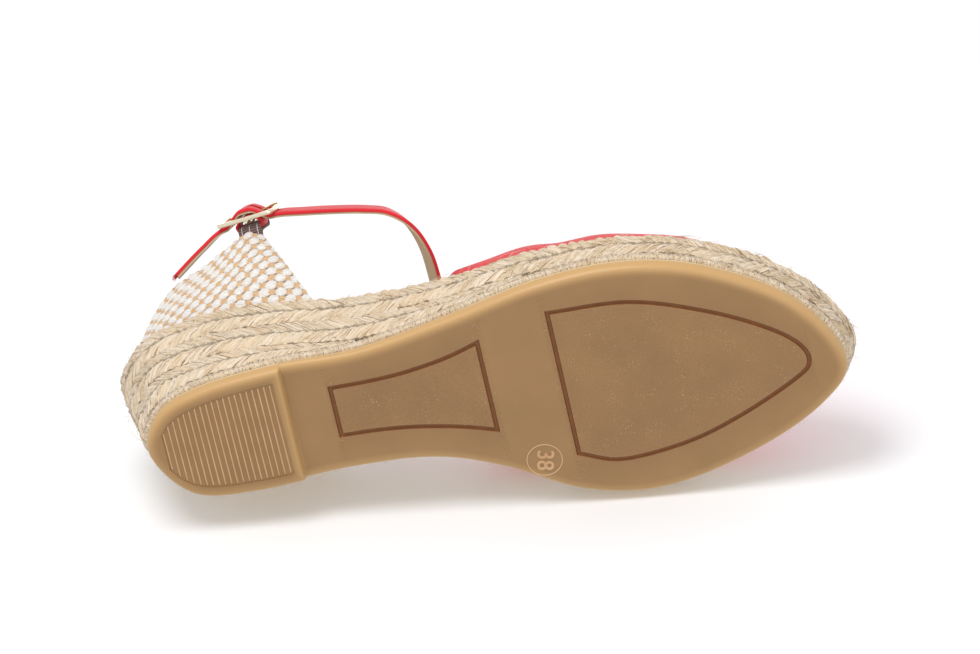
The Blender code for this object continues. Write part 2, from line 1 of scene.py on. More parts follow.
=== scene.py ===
"""Finished look of a closed-toe wedge sandal: gum rubber, braided jute, woven counter, canvas and buckle."""

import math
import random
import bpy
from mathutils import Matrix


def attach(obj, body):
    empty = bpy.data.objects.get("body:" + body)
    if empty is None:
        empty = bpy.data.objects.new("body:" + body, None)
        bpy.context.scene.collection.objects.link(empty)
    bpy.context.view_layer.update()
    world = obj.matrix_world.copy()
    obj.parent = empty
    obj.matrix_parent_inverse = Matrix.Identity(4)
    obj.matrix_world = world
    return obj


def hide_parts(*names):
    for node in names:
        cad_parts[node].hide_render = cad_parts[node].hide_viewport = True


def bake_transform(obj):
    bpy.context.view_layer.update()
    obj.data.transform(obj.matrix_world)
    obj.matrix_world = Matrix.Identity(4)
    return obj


bl_info = {
    "name": "Wedge sandal",
    "version": (1, 0, 0),
    "blender": (4, 5, 0),
    "location": "3D Viewport > Sidebar > Sandal",
    "description": "Builds the visible pieces of a jute wedge sandal around its CAD frame",
    "category": "Add Mesh",
}

import bmesh
import bpy
import numpy as np
from bpy.props import FloatProperty, FloatVectorProperty, IntProperty, PointerProperty
from mathutils import Matrix, Vector

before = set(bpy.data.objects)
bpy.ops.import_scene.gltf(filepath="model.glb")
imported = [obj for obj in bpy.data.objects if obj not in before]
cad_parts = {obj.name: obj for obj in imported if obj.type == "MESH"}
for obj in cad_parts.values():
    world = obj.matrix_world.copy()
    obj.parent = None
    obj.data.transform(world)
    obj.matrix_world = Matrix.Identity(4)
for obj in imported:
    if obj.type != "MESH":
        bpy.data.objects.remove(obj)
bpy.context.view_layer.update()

MM = 0.001
ORIGIN = np.array((119.9, 3.75, 0.0))

# --- the CAD's own dimensions, in millimetres ---------------------------------------------------
RUBBER_TOP = 6.2
SHANK_RISE = 2.8
HEEL_BREAST = 52.0
SHANK_END = 130.0
ROW_HEIGHT = 12.0
ROW_THICKNESS = 3.0
UPPER_INSET = 3.5
FOOTBED_INSET = 8.5
FOOTBED_DEPTH = 6.0
FABRIC = 1.2
LINING = 0.7
STIFFENER = 0.8
GAP = 0.3
CORD_TOP = 9.6
SOLE_EDGE = [
    (0, 0), (7, -15), (24, -22), (51, -25), (80, -25.5), (113, -32), (145, -39.5), (176, -41),
    (205, -33.5), (233, -15), (247, 11), (236, 27), (209, 41), (176, 49), (148, 44.5), (122, 30),
    (98, 21.5), (68, 20), (36, 22), (12, 18.5),
]
TURN = len(SOLE_EDGE)
TOE = TURN // 2
BED_EDGE = [
    (-10.5, 0), (-2.5, -18.5), (18, -27), (45, -30), (76, -29.5), (111, -33.5), (144, -41),
    (176, -42.5), (206, -35), (235, -16), (250, 11), (238, 28.5), (210, 42.5), (176, 50),
    (147, 45.5), (120, 32), (95, 26.5), (62, 28), (29, 28), (3, 21.5),
]
BED_LENGTH = BED_EDGE[TOE][0] - BED_EDGE[0][0]
BED_HEIGHT = [
    (-12, 47), (20, 45), (45, 41.5), (67, 37.5), (109, 29.5), (150, 22), (180, 19.5), (215, 19), (252, 20),
]
COUNTER_RIBS = [
    (67.5, 45.7, 31.2, 90.0), (61, 42.5, 31.5, 93.0), (54, 39.5, 31.5, 94.0), (45, 35.5, 30.6, 92.0),
    (35, 30, 28.8, 88.5), (25, 24.5, 26.3, 86.0), (14, 17.5, 22.8, 86.3), (4, 10, 18.5, 87.5),
    (-4, 4, 12, 88.6), (-9.2, 1.2, 5.5, 89.3), (-10.5, 0.5, 0, 89.5),
]
COUNTER_BULGE = 3.0
VAMP_RIBS = [
    (111, 111.5, -29.5, 26.5, 32.5), (120, 117.0, -30.6, 29.0, 40.0), (132, 127.0, -25.0, 26.0, 47.2),
    (146, 139.5, -14.0, 17.5, 53.2), (156, 147.5, 2.0, 2.0, 56.6), (172, 164, 3.0, 3.0, 55.5),
    (194, 187, 4.5, 4.5, 51.0), (216, 207, 6.5, 6.5, 46.5), (236, 224, 9.0, 9.0, 40.0),
    (250, 234, 10.5, 10.5, 36.0),
]
VAMP_BULGE = 1.1
VAMP_SQUARENESS = 0.82
STRAP_FRONT = [
    (31.0, -31.2, 101.2), (41.1, -33.0, 100.3), (51.2, -34.8, 99.2), (61, -35.6, 95.6),
    (73, -36.4, 90.8), (84, -36.6, 86.4), (92, -35.4, 83.6), (98.6, -30.4, 81.0),
    (102.6, -22.0, 78.2), (104.0, -11.0, 76.0),
]
STRAP_TAIL = [(22.0, -27.4, 96.0), (11.5, -21.4, 90.4)]
SIDE_LEAN = math.radians(20.0)
FRONT_LEAN = math.radians(24.0)
BUCKLE_AT = Vector((41.1, -33.0, 100.3))
BUCKLE_LENGTH = 22.4
BUCKLE_HEIGHT = 15.6
BUCKLE_STOCK = 1.8
BUCKLE_DEPTH = 1.6
BUCKLE_PLANE = 2.3
BAR_RADIUS = 0.8
BAR_OUT = 1.35
HUMP_RISE = 4.6
HUMP_FOOT = 9.2
HUMP_CROWN = 1.2
PANEL_REAR = 147.5
PANEL_HALF_WIDTH = 29.4
FOREPART_PANEL = [
    (PANEL_REAR, -PANEL_HALF_WIDTH), (177, -28), (203, -19), (223, -8), (233, 1), (235, 9), (229, 15),
    (208, 25.5), (187, 32.6), (163, 35), (PANEL_REAR, PANEL_HALF_WIDTH),
]
WAIST_BACK, WAIST_FRONT = 67, 123
WAIST_SIDES = (
    [(WAIST_BACK, -14), (82, -14.4), (95, -15.6), (110, -18.6), (WAIST_FRONT, -23)],
    [(WAIST_FRONT, 15), (110, 11.2), (95, 8.4), (82, 7.2), (WAIST_BACK, 7)],
)
SIZE_RING = (136.0, 29.0, 6.2)

# --- finer sizes of the visible pieces, in millimetres -------------------------------------------
RIB_FIELD_INSET = 4.6
RIB_RECESS = 0.42
GROOVE_WIDTH = 1.7
GROOVE_DEPTH = 0.7
GROOVE_FLANK = 0.28
SOLE_EDGE_RADIUS = 2.7
NUMERAL_SIZE = 8.4
NUMERAL_TURN = math.radians(258)
BRAID_STEP = 0.5
WELT_STEP = 0.42
WEAVE_SINK = 0.35
CANVAS_RIM = 0.3
LOOP_TOP = 5.9
LOOP_THICKNESS = 0.95
LOOP_HALF_WIDTH = 4.4
TAB_THICKNESS = 0.7
TAB_HALF_WIDTH = 4.2
PRONG_THICKNESS = 0.75
PRONG_HALF_WIDTH = 0.8
PRONG_EYE = 1.45
SQUARING = 0.45
# About how far one step of the wall's index reaches along the sole.
MM_PER_INDEX = 33.0

# --- stage, in metres, with the lens in millimetres ----------------------------------------------
CAMERA_DISTANCE = 2.4
LENS = 251.0
FLOOR_HALF = 1.6

# --- columns of the vamp's grid, from the topline towards the toe -----------------------------------
VAMP_COLUMNS = 121
EVEN_NORMALS = 14
LINING_START = 16
THIN_UNTIL = 12
THICK_FROM = 24


def linear(hexcode):
    """Linear red, green and blue from an sRGB hex colour."""
    parts = [int(hexcode[i:i + 2], 16) / 255 for i in (1, 3, 5)]
    return [c / 12.92 if c <= 0.04045 else ((c + 0.055) / 1.055) ** 2.4 for c in parts]


def colour(name, description, hexcode):
    """Colour property from an sRGB hex value."""
    return FloatVectorProperty(name=name, description=description, subtype="COLOR", size=3,
                               min=0, max=1, default=linear(hexcode))


def length(name, description, default, low, high):
    """Length property in metres."""
    return FloatProperty(name=name, description=description, default=default, min=low, max=high,
                         unit="LENGTH", subtype="DISTANCE")


class SandalSizes(bpy.types.PropertyGroup):
    """Sizes of the weave, braid and moulding."""

    strand_pitch: length("Strand pitch", "Spacing of the jute strands along a row", 0.0034, 0.002, 0.01)
    strand_relief: length("Strand relief", "How far a jute strand stands out of its row", 0.0015, 0, 0.003)
    weave_period: length("Weave period", "One white and one tan float together", 0.0060, 0.003, 0.012)
    weave_row: length("Weave row", "Height of one row of the counter's weave", 0.0043, 0.002, 0.008)
    rib_pitch: length("Rib pitch", "Spacing of the moulded ribs on the heel block", 0.00214, 0.001, 0.005)
    fibres: IntProperty(name="Stray fibres", description="Loose jute fibres on the wedge",
                        default=2300, min=0, max=4000)
    strap_width: length("Strap width", "Width of the ankle strap", 0.0100, 0.006, 0.02)


class SandalColours(bpy.types.PropertyGroup):
    """Colours of the materials."""

    gum: colour("Gum rubber", "Underside of the outsole", "#98734A")
    # Painted light: the brighter amber stands in for light glowing through the rubber at its rounded edge.
    gum_edge_glow: colour("Gum rubber edge", "Rounded edge of the outsole, where light passes through", "#C59D66")
    # Painted shade: the darker brown stands in for the shade inside the moulded grooves.
    gum_groove_shade: colour("Gum rubber groove", "Moulded grooves", "#7A4A22")
    jute: colour("Jute", "Pale jute fibre", "#EBD6B9")
    # Painted shade colour for the hollows between the jute strands.
    jute_gap_shade: colour("Jute gap", "Between the strands", "#B2926B")
    cotton: colour("Cotton", "White floats of the counter's weave", "#F1EEEA")
    tan: colour("Tan jute", "Tan floats of the counter's weave", "#DFB98D")
    red: colour("Red canvas", "Vamp and strap", "#E01626")
    beige: colour("Beige lining", "Linings", "#BDA582")
    gold: colour("Pale gold", "Buckle", "#FBF2D8")


# --- curves and surfaces ------------------------------------------------------------------------
def spline(points, at, closed=False):
    """Catmull-Rom curve through the points, read at the given indices."""
    p = np.array(points, float)
    at = np.asarray(at, float)
    if not closed:
        p = np.vstack([2 * p[0] - p[1], p, 2 * p[-1] - p[-2], 3 * p[-1] - 2 * p[-2]])
        at = np.clip(at, 0, len(points) - 1 - 1e-9) + 1
    i = np.floor(at).astype(int)
    t = (at - i)[:, None]
    n = len(p)
    a, b, c, d = p[(i - 1) % n], p[i % n], p[(i + 1) % n], p[(i + 2) % n]
    square, cube = 2 * a - 5 * b + 4 * c - d, 3 * b - a - 3 * c + d
    return 0.5 * (2 * b + (c - a) * t + square * t ** 2 + cube * t ** 3)


BED_KNOTS = spline(BED_HEIGHT, np.linspace(0, len(BED_HEIGHT) - 1, 200))


def bed_height(x):
    """Height of the jute wall's upper edge at X."""
    return np.interp(x, BED_KNOTS[:, 0], BED_KNOTS[:, 1])


def ground(x):
    """Height of the outsole's underside at X."""
    x = np.asarray(x, float)
    slope = SHANK_RISE * np.clip((SHANK_END - x) / (SHANK_END - HEEL_BREAST), 0, 1)
    step = np.clip((x - HEEL_BREAST + 0.7) / 1.4, 0, 1)
    return slope * step * step * (3 - 2 * step)


def wall(at, height, inset=0.0):
    """Points on the flared wall and the outward normals there."""
    at = np.asarray(at, float)

    def ring(u, part):
        sole, bed = spline(SOLE_EDGE, u, True), spline(BED_EDGE, u, True)
        return sole + (bed - sole) * part[:, None]

    part = np.full(len(at), 0.5)
    for _ in range(3):
        p = ring(at, part)
        z = height(p[:, 0]) if callable(height) else np.full(len(at), float(height))
        part = np.clip((z - RUBBER_TOP) / (bed_height(p[:, 0]) - RUBBER_TOP), 0, 1)
    along = ring(at + 0.04, part) - ring(at - 0.04, part)
    out = np.stack([along[:, 1], -along[:, 0]], 1) / np.linalg.norm(along, axis=1)[:, None]
    p = p - out * inset
    if callable(height):
        z = height(p[:, 0])
    return np.column_stack([p, z]), np.column_stack([out, np.zeros(len(out))])


def side_index(x, inner):
    """Index along BED_EDGE of the point at X on the outer or the inner side."""
    u = np.linspace(0, TOE, 400)
    u = TURN - u if inner else u
    edge = spline(BED_EDGE, u, True)[:, 0]
    edge[0], edge[-1] = min(edge), max(edge)
    return np.interp(x, np.maximum.accumulate(edge), u)


def even_stations(start, end, step, height):
    """Indices about evenly spaced along the wall, and the distance to each, in millimetres."""
    u = np.linspace(start, end, 4000)
    p, _ = wall(u, height)
    run = np.concatenate([[0], np.cumsum(np.linalg.norm(np.diff(p[:, :2], axis=0), axis=1))])
    s = np.linspace(0, run[-1], int(round(run[-1] / step)) + 1)
    return np.interp(s, run, u), s


def value_noise(x, y, seed):
    """Smooth noise from -1 to 1 over a plane whose cells are one unit across."""
    rng = np.random.RandomState(seed)
    grid = rng.uniform(-1, 1, (64, 64))
    i, j = np.floor(x).astype(int), np.floor(y).astype(int)
    fx, fy = x - i, y - j
    fx, fy = fx * fx * (3 - 2 * fx), fy * fy * (3 - 2 * fy)
    a, b = grid[i % 64, j % 64], grid[(i + 1) % 64, j % 64]
    c, d = grid[i % 64, (j + 1) % 64], grid[(i + 1) % 64, (j + 1) % 64]
    return (a * (1 - fx) + b * fx) * (1 - fy) + (c * (1 - fx) + d * fx) * fy


def cell_random(index, seed):
    """A fixed random number from 0 to 1 for each whole number."""
    return np.modf(np.abs(np.sin(index * 12.9898 + seed * 78.233) * 43758.5453))[0]


# --- building pieces ----------------------------------------------------------------------------
def mesh_from(name, points, faces):
    """Mesh from design points in millimetres."""
    points = (np.asarray(points, float).reshape(-1, 3) - ORIGIN) * MM
    mesh = bpy.data.meshes.new(name)
    mesh.from_pydata(points.tolist(), [], [list(map(int, f)) for f in faces])
    return mesh


def fix_normals(mesh):
    """Turn the faces of a closed mesh outwards."""
    bm = bmesh.new()
    bm.from_mesh(mesh)
    bmesh.ops.recalc_face_normals(bm, faces=bm.faces)
    bm.to_mesh(mesh)
    bm.free()


def grid_faces(rows, columns, wrap_rows=False, wrap_columns=False):
    """Quads of a grid whose points run column by column within each row."""
    r = np.arange(rows if wrap_rows else rows - 1)
    c = np.arange(columns if wrap_columns else columns - 1)
    r, c = np.meshgrid(r, c, indexing="ij")
    r2, c2 = (r + 1) % rows, (c + 1) % columns
    quads = [r * columns + c, r * columns + c2, r2 * columns + c2, r2 * columns + c]
    return np.stack(quads, -1).reshape(-1, 4)


def piece(mesh, body, materials, replaces=(), smooth=True):
    """Object that stands for the CAD nodes it replaces. It rides on a body, or on none if it is to blend."""
    fix_normals(mesh)
    ob = bpy.data.objects.new(mesh.name, mesh)
    bpy.context.scene.collection.objects.link(ob)
    for material in materials:
        mesh.materials.append(material)
    if smooth:
        mesh.shade_smooth()
    if body:
        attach(ob, body)
    if replaces:
        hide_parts(*replaces)
    return ob


def settle(ob):
    """Apply the object's modifiers."""
    graph = bpy.context.evaluated_depsgraph_get()
    mesh = bpy.data.meshes.new_from_object(ob.evaluated_get(graph))
    ob.modifiers.clear()
    ob.data = mesh


def cut(ob, cutter):
    """Cut a closed mesh out of the object."""
    fix_normals(cutter)
    helper = bpy.data.objects.new(cutter.name, cutter)
    bpy.context.scene.collection.objects.link(helper)
    mod = ob.modifiers.new(cutter.name, "BOOLEAN")
    mod.object = helper
    mod.solver = "EXACT"
    bpy.context.view_layer.update()
    settle(ob)
    bpy.data.objects.remove(helper)


def vertex_floats(mesh, **values):
    """Store numbers on the vertices for the materials to read."""
    for name, numbers in values.items():
        layer = mesh.attributes.new(name, "FLOAT", "POINT")
        layer.data.foreach_set("value", np.asarray(numbers, np.float32).ravel())


def face_uv(mesh, name, uv_of_vertex):
    """UV map in millimetres from values at the vertices."""
    layer = mesh.uv_layers.new(name=name)
    index = np.empty(len(mesh.loops), int)
    mesh.loops.foreach_get("vertex_index", index)
    layer.data.foreach_set("uv", np.asarray(uv_of_vertex, np.float32)[index].ravel())


# --- materials ----------------------------------------------------------------------------------
def add(tree, kind, settings=None, links=None):
    """Add a node with its settings, and link sockets into its inputs."""
    node = tree.nodes.new(kind)
    for key, value in (settings or {}).items():
        if isinstance(key, int) or key in node.inputs:
            node.inputs[key].default_value = value
        else:
            setattr(node, key, value)
    for key, socket in (links or {}).items():
        tree.links.new(socket, node.inputs[key])
    return node


def ramp(tree, factor, stops):
    """Colour ramp from (position, colour) stops."""
    node = add(tree, "ShaderNodeValToRGB", links={0: factor})
    elements = node.color_ramp.elements
    while len(elements) < len(stops):
        elements.new(0.5)
    for element, (position, rgb) in zip(elements, stops):
        element.position = position
        element.color = (*rgb, 1)
    return node.outputs["Color"]


def start_material(name, roughness, metallic=0.0, **sockets):
    """Empty Principled material with its uniform values on the shader's own sockets."""
    mat = bpy.data.materials.new(name)
    mat.use_nodes = True
    tree = mat.node_tree
    tree.nodes.clear()
    shader = add(tree, "ShaderNodeBsdfPrincipled", {"Roughness": roughness, "Metallic": metallic})
    for key, value in sockets.items():
        shader.inputs[key.replace("_", " ")].default_value = value
    out = add(tree, "ShaderNodeOutputMaterial")
    tree.links.new(shader.outputs[0], out.inputs[0])
    return mat, tree, shader


def bump(tree, shader, height, distance_mm, after=None):
    """Bump of a real height in millimetres on the shader's normal."""
    node = add(tree, "ShaderNodeBump", {"Strength": 1.0, "Distance": distance_mm * MM}, {"Height": height})
    if after:
        tree.links.new(after, node.inputs["Normal"])
    tree.links.new(node.outputs[0], shader.inputs["Normal"])
    return node.outputs[0]


def mixed(tree, factor, a, b, blend="MIX"):
    """Mix of two colours, each a socket or a plain colour."""
    node = add(tree, "ShaderNodeMix", {"data_type": "RGBA", "blend_type": blend})
    for index, value in ((0, factor), (6, a), (7, b)):
        if isinstance(value, bpy.types.NodeSocket):
            tree.links.new(value, node.inputs[index])
        else:
            node.inputs[index].default_value = value if index == 0 else (*value, 1)
    return node.outputs[2]


def gum_rubber(colours, grain):
    """Moulded gum rubber: matt, slightly translucent, with cloudy tone and a fine mould texture."""
    mat, tree, shader = start_material("gum_rubber_" + grain, 0.42,
                                       Subsurface_Weight=0.12, Subsurface_Scale=0.004)
    shader.inputs["Subsurface Radius"].default_value = (1.0, 0.45, 0.15)
    place = add(tree, "ShaderNodeTexCoord").outputs["Object"]
    # Cloudy tone a few centimetres across, from uneven curing.
    cloud = add(tree, "ShaderNodeTexNoise", {"Scale": 38.0, "Detail": 3.0, "Roughness": 0.55},
                {"Vector": place})
    tone = mixed(tree, ramp(tree, cloud.outputs[0], [(0.3, (0, 0, 0)), (0.7, (1, 1, 1))]),
                 [c * 0.92 for c in colours.gum], [c * 1.08 for c in colours.gum])
    # Painted light: towards the edge the tone turns to a brighter amber, a painted glow through the rubber
    # and a painted highlight on the rounded edge.
    edge = add(tree, "ShaderNodeAttribute", {"attribute_name": "edge"}).outputs["Fac"]
    tone = mixed(tree, edge, tone, colours.gum_edge_glow)
    # Pale lip under the welt: a painted highlight along its ridge.
    rim = add(tree, "ShaderNodeAttribute", {"attribute_name": "rim"}).outputs["Fac"]
    tone = mixed(tree, rim, tone, linear("#DCC8A2"))
    # Grit of about 0.7 mm, drawn coarser than real so that it shows.
    scale, depth = (1500.0, 0.10) if grain == "panel" else (900.0, 0.03)
    grit = add(tree, "ShaderNodeTexNoise", {"Scale": scale, "Detail": 2.0}, {"Vector": place}).outputs[0]
    if grain == "panel":
        # Painted glints: pale specks where the grit of the mould catches the light.
        speck = add(tree, "ShaderNodeTexVoronoi", {"Scale": 1150.0}, {"Vector": place}).outputs["Distance"]
        gate = add(tree, "ShaderNodeTexNoise", {"Scale": 120.0, "Detail": 2.0}, {"Vector": place}).outputs[0]
        painted_glint = add(tree, "ShaderNodeMath", {"operation": "MULTIPLY"}, {
            0: ramp(tree, speck, [(0.08, (1, 1, 1)), (0.19, (0, 0, 0))]),
            1: ramp(tree, gate, [(0.50, (0, 0, 0)), (0.60, (1, 1, 1))])}).outputs[0]
        tone = mixed(tree, painted_glint, tone, linear("#D9B98C"))
        mottle = ramp(tree, grit, [(0.35, (0.93, 0.92, 0.91)), (0.65, (1.05, 1.05, 1.05))])
        tone = mixed(tree, 1.0, tone, mottle, "MULTIPLY")
    tree.links.new(tone, shader.inputs["Base Color"])
    bump(tree, shader, grit, depth)
    return mat


def shaded_groove_rubber(colours):
    """Moulded gum rubber in the narrow grooves: painted darker as the shade inside the recess, mottled and
    matt.
    """
    mat, tree, shader = start_material("gum_rubber_groove_shade", 0.6)
    place = add(tree, "ShaderNodeTexCoord").outputs["Object"]
    groove_mottle = add(tree, "ShaderNodeTexNoise", {"Scale": 300.0, "Detail": 3.0}, {"Vector": place}).outputs[0]
    tone = mixed(tree, groove_mottle, [c * 0.8 for c in colours.gum_groove_shade], [c * 1.35 for c in colours.gum_groove_shade])
    tree.links.new(tone, shader.inputs["Base Color"])
    return mat


def jute_fibre(name, colours, stretch=(0.30, 5.0)):
    """Braided jute: matt bast fibre in long fine streaks, with painted shade, browner, in the gaps between
    strands.
    """
    mat, tree, shader = start_material(name, 0.88, Sheen_Weight=0.25, Sheen_Roughness=0.5)
    fibre = add(tree, "ShaderNodeUVMap", {"uv_map": "fibre"}).outputs[0]
    # Streaks about 0.2 mm across and 3 mm long, along each strand.
    run = add(tree, "ShaderNodeMapping", {"Scale": (*stretch, 1)}, {"Vector": fibre}).outputs[0]
    streak = add(tree, "ShaderNodeTexNoise", {"Scale": 1.0, "Detail": 4.0, "Roughness": 0.6},
                 {"Vector": run}).outputs[0]
    coarse_run = add(tree, "ShaderNodeMapping", {"Scale": (stretch[0] * 0.7, stretch[1] * 0.32, 1)},
                     {"Vector": fibre}).outputs[0]
    bundle = add(tree, "ShaderNodeTexNoise", {"Scale": 1.0, "Detail": 3.0}, {"Vector": coarse_run}).outputs[0]
    tint = add(tree, "ShaderNodeAttribute", {"attribute_name": "tint"}).outputs["Fac"]
    gap = add(tree, "ShaderNodeAttribute", {"attribute_name": "gap"}).outputs["Fac"]
    pale = mixed(tree, tint, linear("#F9EDDC"), colours.jute)
    tone = mixed(tree, ramp(tree, streak, [(0.38, (1, 1, 1)), (0.62, (0, 0, 0))]), pale, linear("#D9C09D"))
    brown = ramp(tree, bundle, [(0.62, (0, 0, 0)), (0.75, (0.75, 0.75, 0.75))])
    tone = mixed(tree, brown, tone, linear("#B8946A"))
    # Bits of brown bark left on the fibre, a few millimetres long.
    settings = {"Scale": (stretch[0] * 1.3, stretch[1] * 0.5, 1), "Location": (7, 3, 0)}
    bark_run = add(tree, "ShaderNodeMapping", settings, {"Vector": fibre}).outputs[0]
    bark = add(tree, "ShaderNodeTexNoise", {"Scale": 1.0, "Detail": 1.0}, {"Vector": bark_run}).outputs[0]
    for start, end, most, tint_hex in ((0.58, 0.64, 0.6, "#B28F60"), (0.66, 0.70, 0.9, "#7A5329")):
        flecks = ramp(tree, bark, [(start, (0, 0, 0)), (end, (most, most, most))])
        tone = mixed(tree, flecks, tone, linear(tint_hex))
    # Painted shade: the hollows between strands are darkened towards the shade colour.
    shade = ramp(tree, gap, [(0.42, (0, 0, 0)), (1.0, (0.9, 0.9, 0.9))])
    tone = mixed(tree, shade, tone, colours.jute_gap_shade)
    tree.links.new(tone, shader.inputs["Base Color"])
    first = bump(tree, shader, streak, 0.35)
    bump(tree, shader, bundle, 0.6, after=first)
    return mat


def stray_fibre(name):
    """Loose jute fibre: satin straw-coloured hair."""
    mat, tree, shader = start_material(name, 0.6)
    place = add(tree, "ShaderNodeTexCoord").outputs["Object"]
    vary = add(tree, "ShaderNodeTexNoise", {"Scale": 120.0, "Detail": 1.0}, {"Vector": place}).outputs[0]
    tone = ramp(tree, vary, [(0.36, linear("#9C7644")), (0.48, linear("#D9C093")), (0.62, linear("#F6EEDC"))])
    tree.links.new(tone, shader.inputs["Base Color"])
    return mat


def counter_weave(colours):
    """Basket weave of white cotton and tan jute yarn: matt, soft, each float of several fine yarns."""
    mat, tree, shader = start_material("woven_cotton_and_jute", 0.85, Sheen_Weight=0.2)
    weave = add(tree, "ShaderNodeUVMap", {"uv_map": "fibre"}).outputs[0]
    # Yarns of about 0.6 mm run across the wearer's foot.
    run = add(tree, "ShaderNodeMapping", {"Scale": (0.45, 3.4, 1)}, {"Vector": weave}).outputs[0]
    yarn = add(tree, "ShaderNodeTexNoise", {"Scale": 1.0, "Detail": 3.0, "Distortion": 0.3},
               {"Vector": run}).outputs[0]
    tan = add(tree, "ShaderNodeAttribute", {"attribute_name": "tint"}).outputs["Fac"]
    gap = add(tree, "ShaderNodeAttribute", {"attribute_name": "gap"}).outputs["Fac"]
    # Painted shade between the fine yarns of each float.
    yarn_shade = ramp(tree, yarn, [(0.35, (1, 1, 1)), (0.60, (0, 0, 0))])
    white = mixed(tree, yarn_shade, colours.cotton, linear("#D2CCC4"))
    straw = mixed(tree, yarn_shade, colours.tan, linear("#BE9364"))
    tone = mixed(tree, tan, white, straw)
    # Painted shade: where the floats sink, the tone turns to a shaded brown.
    tone = mixed(tree, ramp(tree, gap, [(0.35, (0, 0, 0)), (1.0, (1, 1, 1))]), tone, linear("#8F7356"))
    tree.links.new(tone, shader.inputs["Base Color"])
    bump(tree, shader, yarn, 0.35)
    return mat


def canvas(name, base):
    """Plain-woven dyed cotton canvas: matt threads with a soft sheen, slightly worn tone and painted shade
    between the threads.
    """
    mat, tree, shader = start_material(name, 0.72, Sheen_Weight=0.25, Sheen_Roughness=0.4)
    place = add(tree, "ShaderNodeTexCoord").outputs["Object"]
    place_on_cloth = add(tree, "ShaderNodeUVMap", {"uv_map": "fibre"}).outputs[0]
    # Threads every 0.8 mm, drawn a little coarser than real so that they show.
    settings = {"Scale": 0.3142 / 0.8, "Distortion": 0.5, "Detail": 1.0}
    warp, weft = (add(tree, "ShaderNodeTexWave", {**settings, "bands_direction": axis},
                      {"Vector": place_on_cloth}).outputs["Fac"] for axis in "XY")
    cloth = add(tree, "ShaderNodeMath", {"operation": "MAXIMUM"}, {0: warp, 1: weft}).outputs[0]
    wear = add(tree, "ShaderNodeTexNoise", {"Scale": 90.0, "Detail": 4.0}, {"Vector": place}).outputs[0]
    tone = mixed(tree, ramp(tree, wear, [(0.35, (0, 0, 0)), (0.7, (1, 1, 1))]),
                 [c * 0.93 for c in base], [min(c * 1.05, 1) for c in base])
    # Painted shade in the hollows between the threads.
    thread_shade = ramp(tree, cloth, [(0.2, (0.6, 0.6, 0.6)), (0.8, (0, 0, 0))])
    tone = mixed(tree, thread_shade, tone, [c * 0.55 for c in base])
    tree.links.new(tone, shader.inputs["Base Color"])
    bump(tree, shader, cloth, 0.12)
    return mat


def lining_leather(name, base):
    """Thin split leather: matt with fine grain and cloudy tone."""
    mat, tree, shader = start_material(name, 0.62)
    place = add(tree, "ShaderNodeTexCoord").outputs["Object"]
    # Pores of about 0.8 mm.
    pores = add(tree, "ShaderNodeTexVoronoi", {"Scale": 1100.0, "feature": "DISTANCE_TO_EDGE"},
                {"Vector": place})
    cloud = add(tree, "ShaderNodeTexNoise", {"Scale": 70.0, "Detail": 4.0}, {"Vector": place}).outputs[0]
    tone = mixed(tree, cloud, [c * 0.82 for c in base], [min(c * 1.15, 1) for c in base])
    tree.links.new(tone, shader.inputs["Base Color"])
    bump(tree, shader, pores.outputs["Distance"], 0.08)
    return mat


def ribbed_webbing():
    """Woven elastic: thick cross ribs of brown yarn, painted darker between the ribs, with a white stretch
    thread showing here and there.
    """
    mat, tree, shader = start_material("woven_elastic_webbing", 0.8, Sheen_Weight=0.2)
    uv = add(tree, "ShaderNodeUVMap", {"uv_map": "fibre"}).outputs[0]
    axes = add(tree, "ShaderNodeSeparateXYZ", links={0: uv})
    # Ribs every 0.9 mm along the webbing.
    phase = add(tree, "ShaderNodeMath", {"operation": "MULTIPLY", 1: 6.2832 / 0.9},
                {0: axes.outputs[0]}).outputs[0]
    rib = add(tree, "ShaderNodeMath", {"operation": "SINE"}, {0: phase}).outputs[0]
    rib = add(tree, "ShaderNodeMapRange", {"From Min": -1.0}, {"Value": rib}).outputs[0]
    # Painted shade: darker brown in the troughs between the ribs, paler on their crests.
    tone = mixed(tree, rib, linear("#46332E"), linear("#8D7068"))
    line = add(tree, "ShaderNodeMath", {"operation": "PINGPONG", 1: 1.5}, {0: axes.outputs[1]}).outputs[0]
    tone = mixed(tree, ramp(tree, line, [(0.10, (1, 1, 1)), (0.2, (0, 0, 0))]), tone, linear("#D9D6DC"))
    tree.links.new(tone, shader.inputs["Base Color"])
    bump(tree, shader, rib, 0.3)
    return mat


def plated_metal(name, base):
    """Polished pale gold plating on zinc: bright, with fine handling scratches."""
    mat, tree, shader = start_material(name, 0.2, 1.0)
    place = add(tree, "ShaderNodeTexCoord").outputs["Object"]
    run = add(tree, "ShaderNodeMapping", {"Scale": (1, 9, 1), "Rotation": (0, 0, 0.6)},
              {"Vector": place}).outputs[0]
    scratch = add(tree, "ShaderNodeTexNoise", {"Scale": 420.0, "Detail": 3.0}, {"Vector": run}).outputs[0]
    tone = mixed(tree, scratch, [c * 0.93 for c in base], base)
    tree.links.new(tone, shader.inputs["Base Color"])
    rough = add(tree, "ShaderNodeMapRange", {"To Min": 0.10, "To Max": 0.30}, {"Value": scratch}).outputs[0]
    tree.links.new(rough, shader.inputs["Roughness"])
    bump(tree, shader, scratch, 0.01)
    return mat


